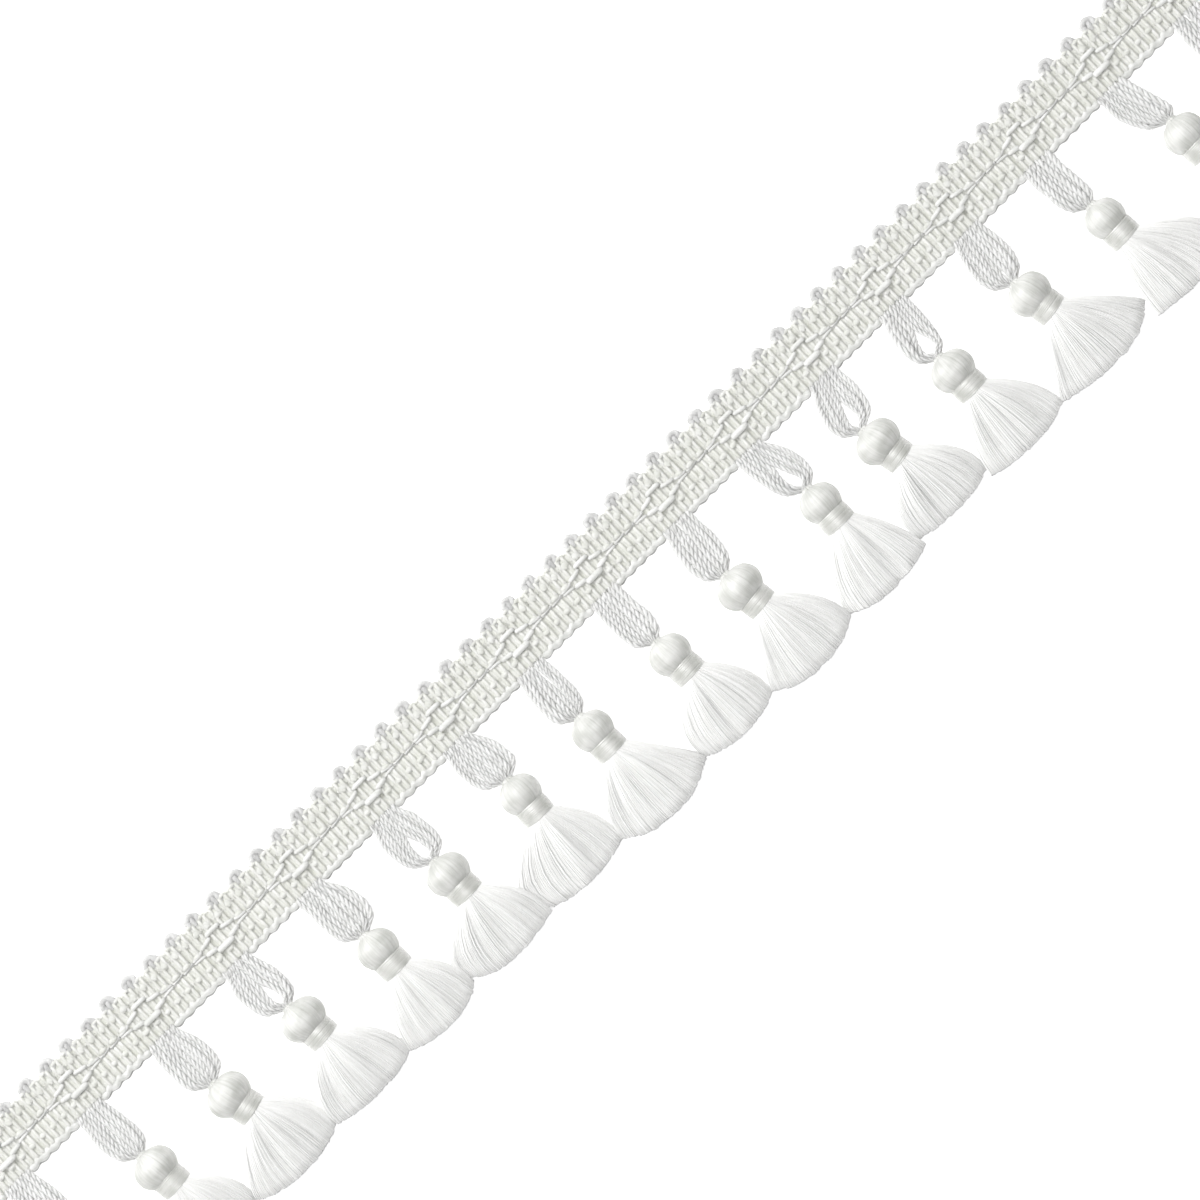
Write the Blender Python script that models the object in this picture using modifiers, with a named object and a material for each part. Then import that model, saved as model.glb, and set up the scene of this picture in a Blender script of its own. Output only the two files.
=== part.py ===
"""Tassel fringe trim: a woven heading with picots, cord loops and small bound tassels, laid out face up.

The trim lies along X on the surface at z = 0. Its picot edge faces +Y, its tassels point to -Y and its face
looks up. The origin is on the heading's centre line, at the middle of its length, on that surface.
"""

import math
import random
from typing import NamedTuple

import bmesh
import bpy
from mathutils import Vector

MM = 0.001
GAP = 0.35 * MM
TURN = 2.0 * math.pi
SHARP_ANGLE = math.radians(40)

# The repeat: seven ribs of the weave to each tassel, and one picot to every two ribs
TASSEL_PITCH = 22.3 * MM
RIBS_PER_TASSEL = 7
SPANS_PER_RIB = 2
SPANS_PER_PICOT = 4

# Heading, across its width
HEADING_RIBS = 120
HEADING_TOP = 6.7 * MM
HEADING_BOTTOM = -6.5 * MM
SCALLOP = 0.6 * MM
SHOULDER = 1.3 * MM
EDGE_HEIGHT = 1.2 * MM
RIB_HEIGHT = 2.0 * MM
GROOVE_DEPTH = 0.6 * MM
PICOT_REACH = 2.4 * MM
PICOT_SHOULDER = 1.7 * MM
PICOT_NARROWING = 0.35 * MM
PICOT_HEIGHT = 1.5 * MM

# Two centre yarns, which part into a lozenge above each tassel, half a rib to the right of its loop
FLOAT_RISE = 0.6 * MM
FLOAT_IN_GROOVE = 0.4
FLOAT_CLOSED = 0.6 * MM
FLOAT_OPEN_UPPER = 2.8 * MM
FLOAT_OPEN_LOWER = 1.7 * MM
LOZENGE_HALF = 8.4 * MM

# Loops of doubled twisted cord
LOOP_TOP = HEADING_BOTTOM - SCALLOP - GAP
LOOP_ROOT_HALF = 4.0 * MM
LOOP_BELLY = 0.47
LOOP_TAPER = 0.56
LOOP_TAPER_POWER = 2.2
CORD = 2.5 * MM
CORD_LIFT_START = 0.35
CORD_TWIST = 0.1
SLIT = 0.4 * MM

# Tassels: a covered ball, the neck under it and the skirt
HEAD_SIDES = 10
BALL_HALF_LENGTH = 3.6 * MM
BALL_CAP = 1.3 * MM
NECK_RADIUS = 3.0 * MM
NECK_END = 7.3 * MM
COLLAR_RADIUS = 4.1 * MM
COLLAR_LENGTH = 0.5 * MM
COLLAR_SIDE = 0.3
LOCKS = 14
LOCK_GAP = 0.25 * MM
LOCK_TOP_WIDTH = 0.8
HEM_POWER = 2.6
HEM_UNEVEN = 0.35 * MM
THICKNESS_UNEVEN = 0.3 * MM

# Thread wound round the neck
BINDING_INNER = 3.45 * MM
BINDING_OUTER = 4.0 * MM
BINDING_HALF_LENGTH = 1.65 * MM
BINDING_EDGE = 0.35 * MM
BINDING_PLACE = 5.45 * MM
BINDING_STEPS = 10
MERGE = 0.01 * MM


class Hanging(NamedTuple):
    """One loop and its tassel, in millimetres: x from its place in the even row, y from the centre line."""

    root: float  # x of the loop's root
    left: float  # reach of the loop's belly to the left of its root
    right: float  # and to the right
    eye: float  # width of the loop's open eye, 0 where its cords close it
    ball: float  # x of the ball
    ball_y: float
    girth: float  # diameter of the ball
    neck: float  # x of the neck's lower end
    left_x: float  # left corner of the skirt
    left_y: float
    right_x: float  # right corner of the skirt
    right_y: float
    hem_y: float  # the skirt's longest strands


# root, left, right, eye, ball, ball_y, girth, neck, left_x, left_y, right_x, right_y, hem_y
HANGINGS = (
    Hanging(0.3, 4.6, 5.4, 0.0, 1.5, -24.6, 10.0, 2.0, -11.0, -45.2, 10.7, -45.4, -48.2),
    Hanging(0.0, 4.0, 5.1, 0.0, 1.7, -24.6, 10.2, 2.4, -11.2, -44.9, 11.9, -44.5, -48.2),
    Hanging(-0.1, 4.4, 6.2, 0.0, 1.6, -24.6, 10.6, 3.1, -10.0, -45.4, 13.4, -45.6, -48.4),
    Hanging(0.1, 5.0, 5.8, 1.8, 2.2, -24.4, 10.8, 2.9, -8.3, -46.2, 13.5, -45.6, -47.7),
    Hanging(0.5, 4.1, 7.1, 0.0, 2.0, -25.1, 9.5, 2.1, -8.4, -46.0, 11.3, -45.1, -48.2),
    Hanging(0.4, 4.8, 6.3, 2.4, 1.8, -24.4, 10.2, 2.0, -10.6, -43.6, 11.6, -46.4, -47.7),
    Hanging(0.7, 4.5, 6.9, 0.0, 2.7, -23.3, 9.5, 2.4, -10.3, -44.9, 11.5, -45.8, -47.7),
    Hanging(1.0, 5.1, 4.2, 0.0, 1.1, -24.6, 9.5, 1.2, -10.4, -46.2, 14.4, -45.8, -50.1),
    Hanging(1.2, 4.3, 4.3, 0.0, 2.2, -24.8, 9.7, 2.7, -7.5, -46.0, 12.0, -46.4, -48.6),
    Hanging(0.9, 5.4, 4.3, 0.0, 0.8, -25.1, 11.0, 1.7, -9.7, -46.2, 13.2, -46.9, -50.1),
    Hanging(0.8, 3.4, 6.7, 2.4, 3.7, -24.6, 9.3, 3.6, -8.5, -46.0, 13.1, -47.5, -49.2),
    Hanging(0.7, 6.5, 4.3, 2.2, -0.6, -24.0, 10.8, 0.7, -8.6, -45.4, 11.9, -44.9, -46.9),
    Hanging(0.0, 5.6, 3.7, 3.0, -0.6, -24.6, 10.2, -0.3, -10.0, -47.1, 11.4, -46.4, -48.6),
    Hanging(0.3, 5.8, 4.5, 0.0, 0.4, -24.6, 10.2, 1.7, -10.5, -46.4, 17.2, -43.6, -48.6),
    Hanging(-0.4, 4.3, 3.9, 0.0, 1.3, -24.6, 9.1, 1.7, -4.7, -48.2, 17.1, -44.5, -49.0),
    Hanging(-0.1, 3.4, 5.4, 0.0, 4.0, -23.8, 9.7, 4.3, -4.8, -45.4, 16.3, -45.4, -48.2),
    Hanging(0.3, 4.6, 5.4, 0.0, 1.5, -24.6, 10.0, 2.0, -5.6, -46.4, 11.5, -45.6, -48.4),
)

RIB_PITCH = TASSEL_PITCH / RIBS_PER_TASSEL
HEADING_LENGTH = HEADING_RIBS * RIB_PITCH


class HeadRing(NamedTuple):
    """One ring of the ball, as shares of its half length down from its middle and of its radius."""

    along: float
    radius: float


BALL_RINGS = (
    HeadRing(-0.62, 0.86),
    HeadRing(0.1, 1.0),
    HeadRing(0.78, 0.84),
)


class SkirtLine(NamedTuple):
    """A line across the skirt on which each lock has a cross-section."""

    flare: float  # share of the way from the collar's width to the hem's
    along: float  # share of the way down from the collar to the hem
    thick_side: float  # height of the locks at the skirt's sides
    thick_middle: float  # and in its middle


SKIRT_LINES = (
    SkirtLine(0.54, 0.42, 3.4 * MM, 6.0 * MM),
    SkirtLine(1.0, 1.0, 1.9 * MM, 3.2 * MM),
)


class LoopStation(NamedTuple):
    """One cross-section of a loop, at a share of the way from its root to the ball."""

    along: float
    slit: float  # 1 where the cords lie a slit apart, 0 where they are joined
    eye: float  # share of the open eye's width


LOOP_STATIONS = (
    LoopStation(0.0, 0.0, 0.0),
    LoopStation(0.14, 1.0, 0.0),
    LoopStation(0.31, 1.0, 0.0),
    LoopStation(0.47, 1.0, 0.0),
    LoopStation(0.62, 1.0, 0.6),
    LoopStation(0.75, 1.0, 1.0),
    LoopStation(0.88, 1.0, 0.2),
    LoopStation(1.0, 0.0, 0.0),
)

# Cross-section of one leg, a pair of cords: (share of the width from the outer edge, share of the thickness)
LEG_SECTION = ((0.0, 0.45), (0.25, 1.0), (0.5, 0.7), (0.75, 1.0), (1.0, 0.8), (1.0, 0.0), (0.2, 0.0))
LEG_RIDGES = (1, 2, 3)
LEG_INNER = (4, 5)


def mix(a, b, share):
    """Returns the point or number at a share of the way from a to b."""
    return a + (b - a) * share


def smooth(share):
    """Returns a share eased at both ends and kept between 0 and 1."""
    share = min(max(share, 0.0), 1.0)
    return share * share * (3.0 - 2.0 * share)


def place_x(index):
    """Returns the x of a tassel's place in the even row."""
    return (index - (len(HANGINGS) - 1) / 2) * TASSEL_PITCH


def make_material(name, colour, roughness):
    """Returns a plain textile material."""
    material = bpy.data.materials.new(name)
    material.use_nodes = True
    shader = material.node_tree.nodes["Principled BSDF"]
    shader.inputs["Base Color"].default_value = (*colour, 1.0)
    shader.inputs["Roughness"].default_value = roughness
    shader.inputs["Metallic"].default_value = 0.0
    return material


def add_piece(collection, name, bm, material, x=0.0):
    """Makes an object of a closed mesh, with its faces pointing out, and frees the mesh."""
    bmesh.ops.recalc_face_normals(bm, faces=bm.faces)
    mesh = bpy.data.meshes.new(name)
    bm.to_mesh(mesh)
    bm.free()
    mesh.shade_smooth()
    mesh.set_sharp_from_angle(angle=SHARP_ANGLE)
    mesh.materials.append(material)
    piece = bpy.data.objects.new(name, mesh)
    piece.location.x = x
    collection.objects.link(piece)
    return piece


def add_rings_between(bm, above, below):
    """Joins two rings that have the same number of points."""
    for i in range(len(above)):
        after = (i + 1) % len(above)
        bm.faces.new((above[i], above[after], below[after], below[i]))


def lozenge_opening(x):
    """Returns how far the centre yarns stand apart at x, from 0 between the tassels to 1 above one."""
    nearest = min(abs(x - place_x(i) - RIB_PITCH / 2) for i in range(len(HANGINGS)))
    return smooth(1.0 - nearest / LOZENGE_HALF)


def heading_rows(x, on_rib):
    """Returns the (y, z) of the heading's face at one x, from its scalloped edge to its picot edge."""
    top = RIB_HEIGHT - (0.0 if on_rib else GROOVE_DEPTH)
    opening = lozenge_opening(x)
    rise = FLOAT_RISE * (1.0 if on_rib else FLOAT_IN_GROOVE)
    upper = mix(FLOAT_CLOSED, FLOAT_OPEN_UPPER, opening)
    lower = -mix(FLOAT_CLOSED, FLOAT_OPEN_LOWER, opening)
    bottom = HEADING_BOTTOM - (SCALLOP if on_rib else 0.0)
    return (
        (bottom, EDGE_HEIGHT),
        (HEADING_BOTTOM + SHOULDER, top),
        (lower, top + rise),
        ((upper + lower) / 2, top),
        (upper, top + rise),
        (HEADING_TOP - SHOULDER, top),
        (HEADING_TOP, EDGE_HEIGHT),
    )


def heading_mesh():
    """Returns the ribbed heading with its scallops and picots, flat underneath."""
    spans = HEADING_RIBS * SPANS_PER_RIB
    rows = len(heading_rows(0.0, True)) - 1
    bm = bmesh.new()
    bmesh.ops.create_grid(bm, x_segments=spans, y_segments=rows, size=0.5)
    top_edge = {}
    for vert in bm.verts:
        station = round((vert.co.x + 0.5) * spans)
        row = round((vert.co.y + 0.5) * rows)
        x = station * RIB_PITCH / SPANS_PER_RIB - HEADING_LENGTH / 2
        y, z = heading_rows(x, station % SPANS_PER_RIB == 1)[row]
        vert.co = (x, y, z)
        if row == rows:
            top_edge[vert] = station
    rim = [edge for edge in bm.edges if edge.is_boundary]
    skirted = bmesh.ops.extrude_edge_only(bm, edges=rim)["geom"]
    for vert in (item for item in skirted if isinstance(item, bmesh.types.BMVert)):
        vert.co.z = 0.0
    bmesh.ops.edgeloop_fill(bm, edges=[edge for edge in bm.edges if edge.is_boundary])
    for picot in range(spans // SPANS_PER_PICOT):
        raise_picot(bm, top_edge, picot * SPANS_PER_PICOT + 1)
    return bm


def raise_picot(bm, top_edge, first):
    """Draws one picot out of the two faces of the picot edge that start at a station."""
    stations = (first, first + 1, first + 2)
    verts = [vert for vert, station in top_edge.items() if station in stations]
    walls = {face for vert in verts for face in vert.link_faces if len(set(face.verts) & set(verts)) == 2}
    walls = [face for face in walls if min(vert.co.z for vert in face.verts) == 0.0]
    drawn = bmesh.ops.extrude_face_region(bm, geom=walls)["geom"]
    bmesh.ops.delete(bm, geom=walls, context="FACES_ONLY")
    middle = (first + 1) * RIB_PITCH / SPANS_PER_RIB - HEADING_LENGTH / 2
    for vert in (item for item in drawn if isinstance(item, bmesh.types.BMVert)):
        aside = vert.co.x - middle
        at_tip = abs(aside) < RIB_PITCH / 4
        vert.co.y = HEADING_TOP + (PICOT_REACH if at_tip else PICOT_SHOULDER)
        if not at_tip:
            vert.co.x -= math.copysign(PICOT_NARROWING, aside)
        if vert.co.z > 0.0:
            vert.co.z = PICOT_HEIGHT if at_tip else EDGE_HEIGHT


def head_axis(row):
    """Returns the ball's middle, the direction down the tassel and the direction to its right."""
    height = 0.5 * row.girth * MM * math.cos(math.pi / HEAD_SIDES)
    ball = Vector((row.ball * MM, row.ball_y * MM, height))
    lean = math.asin((row.neck - row.ball) * MM / NECK_END)
    down = Vector((math.sin(lean), -math.cos(lean), 0.0))
    right = Vector((math.cos(lean), math.sin(lean), 0.0))
    return ball, down, right, lean


def leg_reach(row, side, along, axis_x):
    """Returns how far a loop's outline stands from its middle line on one side, at a share of the way down."""
    belly = (row.left if side < 0 else row.right) * MM
    belly -= side * (axis_x(LOOP_BELLY) - axis_x(0.0))
    if along <= LOOP_BELLY:
        return mix(LOOP_ROOT_HALF, belly, math.sin(0.5 * math.pi * along / LOOP_BELLY))
    past = (along - LOOP_BELLY) / LOOP_TAPER
    return belly * math.sqrt(1.0 - past**LOOP_TAPER_POWER)


def leg_ring(bm, row, side, index, shared):
    """Adds one cross-section of a loop's left or right leg, on the shared inner points where there are some."""
    station = LOOP_STATIONS[index]
    ball, down, _, _ = head_axis(row)
    start = Vector((row.root * MM, LOOP_TOP, 0.0))
    end = ball - down * (BALL_HALF_LENGTH + GAP)

    def axis_x(along):
        return mix(start.x, end.x, along)

    lift = smooth((station.along - CORD_LIFT_START) / (1.0 - CORD_LIFT_START)) * (ball.z - CORD / 2)
    outer = leg_reach(row, side, station.along, axis_x)
    inner = 0.5 * max(SLIT * station.slit, row.eye * MM * station.eye)
    twist = CORD_TWIST if index % 2 else -CORD_TWIST
    ring = []
    for point, (across, up) in enumerate(LEG_SECTION):
        if shared and point in LEG_INNER:
            ring.append(shared[LEG_INNER.index(point)])
            continue
        if point in LEG_RIDGES:
            across += twist * side
        x = axis_x(station.along) + side * mix(outer, inner, across)
        ring.append(bm.verts.new((x, mix(start.y, end.y, station.along), lift + CORD * up)))
    return ring


def loop_mesh(row):
    """Returns one loop: two legs of paired cord, joined at the heading and at the ball."""
    bm = bmesh.new()
    legs = {}
    for side in (-1, 1):
        rings = []
        for index in range(len(LOOP_STATIONS)):
            joined = side > 0 and LOOP_STATIONS[index].slit == 0.0
            shared = [legs[-1][index][point] for point in LEG_INNER] if joined else None
            rings.append(leg_ring(bm, row, side, index, shared))
        legs[side] = rings
        for above, below in zip(rings, rings[1:]):
            add_rings_between(bm, above, below)
    inner_top, inner_low = LEG_INNER
    for end in (0, -1):
        left, right = legs[-1][end], legs[1][end]
        top = left[: inner_top + 1] + right[inner_top - 1 :: -1]
        bm.faces.new(top + right[:inner_low:-1] + left[inner_low:])
    return bm


def head_rings(row):
    """Returns the (distance down from the ball's middle, radius) of the rings of the ball and neck."""
    radius = row.girth / 2 * MM
    ball = [(ring.along * BALL_HALF_LENGTH, ring.radius * radius) for ring in BALL_RINGS]
    return [(-BALL_HALF_LENGTH, BALL_CAP), *ball, (BALL_HALF_LENGTH, NECK_RADIUS), (NECK_END, NECK_RADIUS)]


def bridge(bm, ring, other):
    """Joins two rings with unlike numbers of points, each a list of (angle, point) in the order of the angles."""
    i, j = 0, 0
    while i < len(ring) or j < len(other):
        next_i = ring[i + 1][0] if i + 1 < len(ring) else ring[0][0] + TURN
        next_j = other[j + 1][0] if j + 1 < len(other) else other[0][0] + TURN
        corner = ring[i % len(ring)][1]
        other_corner = other[j % len(other)][1]
        if j >= len(other) or (i < len(ring) and next_i <= next_j):
            i += 1
            bm.faces.new((corner, ring[i % len(ring)][1], other_corner))
        else:
            j += 1
            bm.faces.new((corner, other[j % len(other)][1], other_corner))


def lock_section(row, collar_ends, lock, line, longer, thicker):
    """Returns the four points of one lock's cross-section on a line of the skirt, level on the surface."""
    hem_ends = (Vector((row.left_x, row.left_y, 0.0)) * MM, Vector((row.right_x, row.right_y, 0.0)) * MM)
    aside = 2.0 * (lock + 0.5) / LOCKS - 1.0
    drop = 1.0 - abs(aside) ** HEM_POWER
    low = []
    for edge, inset in ((lock / LOCKS, LOCK_GAP / 2), ((lock + 1) / LOCKS, -LOCK_GAP / 2)):
        collar = mix(*collar_ends, edge)
        hem = mix(*hem_ends, edge)
        hem_y = mix(hem.y, row.hem_y * MM, drop) + longer
        low.append(Vector((mix(collar.x, hem.x, line.flare) + inset, mix(collar.y, hem_y, line.along), 0.0)))
    middle = (low[0] + low[1]) / 2
    height = Vector((0.0, 0.0, mix(line.thick_side, line.thick_middle, 1.0 - aside * aside) + thicker))
    top = [mix(middle, point, LOCK_TOP_WIDTH) + height for point in low]
    return [top[0], top[1], low[1], low[0]]


def collar_rows(bm, point):
    """Adds the collar's upper and lower row of points, which mark off the roots of the locks."""
    rows = ([], [])
    for edge in range(LOCKS + 1):
        across = 2.0 * edge / LOCKS - 1.0
        up = max(math.sqrt(max(1.0 - across * across, 0.0)), COLLAR_SIDE)
        for verts, sign in zip(rows, (1.0, -1.0)):
            place = point(NECK_END + COLLAR_LENGTH, COLLAR_RADIUS * across, sign * COLLAR_RADIUS * up)
            verts.append(bm.verts.new(place))
    return rows


def tassel_mesh(row, seed):
    """Returns one tassel: the ball, its neck and the locks of the skirt, which part at the neck's collar."""
    uneven = random.Random(seed)
    ball, down, right, _ = head_axis(row)
    bm = bmesh.new()

    def point(along, across, up):
        return ball + down * along + right * across + Vector((0.0, 0.0, up))

    angles = [(side + 0.5) * TURN / HEAD_SIDES for side in range(HEAD_SIDES)]
    rings = [
        [bm.verts.new(point(along, radius * math.sin(angle), radius * math.cos(angle))) for angle in angles]
        for along, radius in head_rings(row)
    ]
    bm.faces.new(rings[0])
    for above, below in zip(rings, rings[1:]):
        add_rings_between(bm, above, below)

    upper, lower = collar_rows(bm, point)
    middle = point(NECK_END + COLLAR_LENGTH, 0.0, 0.0)
    collar = []
    for vert in upper + lower:
        angle = math.atan2((vert.co - middle).dot(right), vert.co.z - middle.z)
        collar.append((angle % TURN, vert))
    collar.sort(key=lambda turned: turned[0])
    bridge(bm, list(zip(angles, rings[-1])), collar)

    collar_ends = (upper[0].co.copy(), upper[-1].co.copy())
    for lock in range(LOCKS):
        longer = uneven.uniform(-HEM_UNEVEN, HEM_UNEVEN)
        thicker = uneven.uniform(-THICKNESS_UNEVEN, THICKNESS_UNEVEN)
        sections = [[upper[lock], upper[lock + 1], lower[lock + 1], lower[lock]]]
        for line in SKIRT_LINES:
            corners = lock_section(row, collar_ends, lock, line, longer, thicker)
            sections.append([bm.verts.new(corner) for corner in corners])
        for above, below in zip(sections, sections[1:]):
            add_rings_between(bm, above, below)
        bm.faces.new(sections[-1])
    return bm


def add_binding(collection, name, row, material, x):
    """Adds the thread wound round a neck, as a turned ring."""
    ball, down, _, lean = head_axis(row)
    half = BINDING_HALF_LENGTH
    profile = (
        (BINDING_OUTER, half - BINDING_EDGE),
        (BINDING_OUTER, BINDING_EDGE - half),
        (BINDING_INNER, -half),
        (BINDING_INNER, half),
    )
    mesh = bpy.data.meshes.new(name)
    edges = [(i, (i + 1) % len(profile)) for i in range(len(profile))]
    mesh.from_pydata([(radius, along, 0.0) for radius, along in profile], edges, [])
    mesh.materials.append(material)
    ring = bpy.data.objects.new(name, mesh)
    ring.location = ball + down * BINDING_PLACE + Vector((x, 0.0, 0.0))
    ring.rotation_euler.z = lean
    collection.objects.link(ring)
    turned = ring.modifiers.new("Turned", "SCREW")
    turned.axis = "Y"
    turned.angle = TURN
    turned.steps = BINDING_STEPS
    turned.render_steps = BINDING_STEPS
    turned.use_merge_vertices = True
    turned.merge_threshold = MERGE
    turned.use_smooth_shade = True
    return ring


def main():
    """Builds the whole trim."""
    for existing in list(bpy.data.objects):
        bpy.data.objects.remove(existing, do_unlink=True)
    collection = bpy.data.collections.new("Tassel_fringe_trim")
    bpy.context.scene.collection.children.link(collection)

    woven = make_material("Heading yarn", (0.78, 0.80, 0.74), 0.75)
    corded = make_material("Loop cord", (0.86, 0.86, 0.85), 0.65)
    spun = make_material("Tassel yarn", (0.88, 0.88, 0.87), 0.55)
    bound = make_material("Binding thread", (0.84, 0.84, 0.82), 0.45)

    add_piece(collection, "heading", heading_mesh(), woven)
    for index, row in enumerate(HANGINGS):
        x = place_x(index)
        number = f"{index + 1:02d}"
        add_piece(collection, f"loop_{number}", loop_mesh(row), corded, x)
        add_piece(collection, f"tassel_{number}", tassel_mesh(row, index), spun, x)
        add_binding(collection, f"binding_{number}", row, bound, x)


main()
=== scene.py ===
"""Looks of the tassel fringe trim: a gimp heading with picots, twisted cord loops and small bound tassels.

The trim lies face up along X, its picot edge to +Y and its tassels to -Y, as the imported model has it. Each
class below is one sub-assembly: it holds its sizes in metres, builds its yarns as meshes and dresses them.
"""

import logging
import math
from dataclasses import dataclass
from enum import Enum, IntEnum
from typing import ClassVar

import bpy
import numpy as np
from mathutils import Matrix, Vector


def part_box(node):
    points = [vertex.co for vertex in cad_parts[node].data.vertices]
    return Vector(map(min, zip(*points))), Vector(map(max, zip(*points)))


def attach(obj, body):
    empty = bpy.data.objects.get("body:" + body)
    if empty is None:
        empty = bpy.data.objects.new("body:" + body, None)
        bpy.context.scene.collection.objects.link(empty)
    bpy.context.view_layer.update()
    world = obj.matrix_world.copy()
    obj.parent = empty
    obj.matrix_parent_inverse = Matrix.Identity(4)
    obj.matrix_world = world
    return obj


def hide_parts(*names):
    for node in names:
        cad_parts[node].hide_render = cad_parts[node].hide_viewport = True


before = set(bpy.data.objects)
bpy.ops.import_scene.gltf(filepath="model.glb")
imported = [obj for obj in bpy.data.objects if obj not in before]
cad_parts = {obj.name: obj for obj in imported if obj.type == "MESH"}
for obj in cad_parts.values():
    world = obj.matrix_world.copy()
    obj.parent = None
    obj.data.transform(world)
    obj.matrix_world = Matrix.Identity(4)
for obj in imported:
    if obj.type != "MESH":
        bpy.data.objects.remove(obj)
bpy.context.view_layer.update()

LOG = logging.getLogger("tassel_fringe")
MM = 0.001
TURN = 2.0 * math.pi
UP = np.array((0.0, 0.0, 1.0))
BODY = "root"
YARN_UV = "yarn_mm"
UV_SPREAD = 900.0  # millimetres over which the yarns' UVs start, so that no two look alike
SHADED_CUT_END = "shaded_cut_end"  # point attribute: 1 where a yarn's cut end shows, to be painted dark as shade
PLY_SIDES = 5  # corners of a ply's section
STRAY_RUN = 3.0 * MM  # length over which the turn of a cord's plies strays
CRISP = math.radians(75.0)  # edges that turn more than this stay crisp, such as cut ends
REST = 0.02 * MM  # the lowest that a yarn lies: it flattens where it rests
BALL_FLAT = math.cos(math.pi / 10)  # height of a ball's middle as a share of its radius: it rests on a flat

# The repeat: seven ribs of the weave to each tassel, and one picot to every two ribs
TASSEL_PITCH = 22.3 * MM
RIBS_PER_TASSEL = 7
RIB_PITCH = TASSEL_PITCH / RIBS_PER_TASSEL

# The two centre cords, the upper one first, at the middle rib of a lozenge and one, two and three ribs away.
# Their levels from the centre line, their radii and their heights are in millimetres.
LOZENGE_LEVELS = ((2.8, 1.5, 0.65, 0.25), (-1.6, -0.7, -0.1, 0.1))
LOZENGE_RADII = ((0.62, 0.54, 0.42, 0.32), (0.8, 0.62, 0.4, 0.28))
LOZENGE_HEIGHTS = ((1.82, 1.72, 1.58, 1.52), (1.82, 1.72, 1.54, 1.44))
LOZENGE_HALVES = ((0.5, 0.4, 0.38, 0.4), (0.6, 0.36, 0.38, 0.4))  # of a float's length, in ribs
LOZENGE_SLOPES = (0.1, 0.5, 0.6, 0.6)  # how far a float slants to the dips beside it, 1 for all the way


class Twist(Enum):
    """Direction in which the plies of a cord turn."""

    Z = 1.0
    S = -1.0


class Seed(IntEnum):
    """Seeds of the random numbers of each piece. The last five are added to a hanging's index."""

    GROUND = 1
    PICOTS = 2
    LEGS = 3
    BARS = 4
    CENTRE_CORDS = 5
    EDGE_CORD = 6
    BACK_WEFT = 7
    TOP_CORD = 8
    EDGE_SHADOW = 9
    BALL = 100
    BINDING = 200
    LOOP = 300
    SKIRT = 400
    BILLOW = 500


@dataclass(frozen=True)
class Hanging:
    """One loop and its tassel, in millimetres: x from its place in the even row, y from the centre line."""

    root: float  # x of the loop's root
    left: float  # reach of the loop's belly to the left of its root
    right: float  # and to the right
    eye: float  # width of the loop's open eye, 0 where its cords close it
    ball: float  # x of the ball
    ball_y: float
    girth: float  # diameter of the ball
    neck: float  # x of the neck's lower end
    left_x: float  # left corner of the skirt
    left_y: float
    right_x: float  # right corner of the skirt
    right_y: float
    hem_y: float  # the skirt's longest strands
    left_wing: float  # how far the skirt's left side swells out on its way down
    right_wing: float


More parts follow.
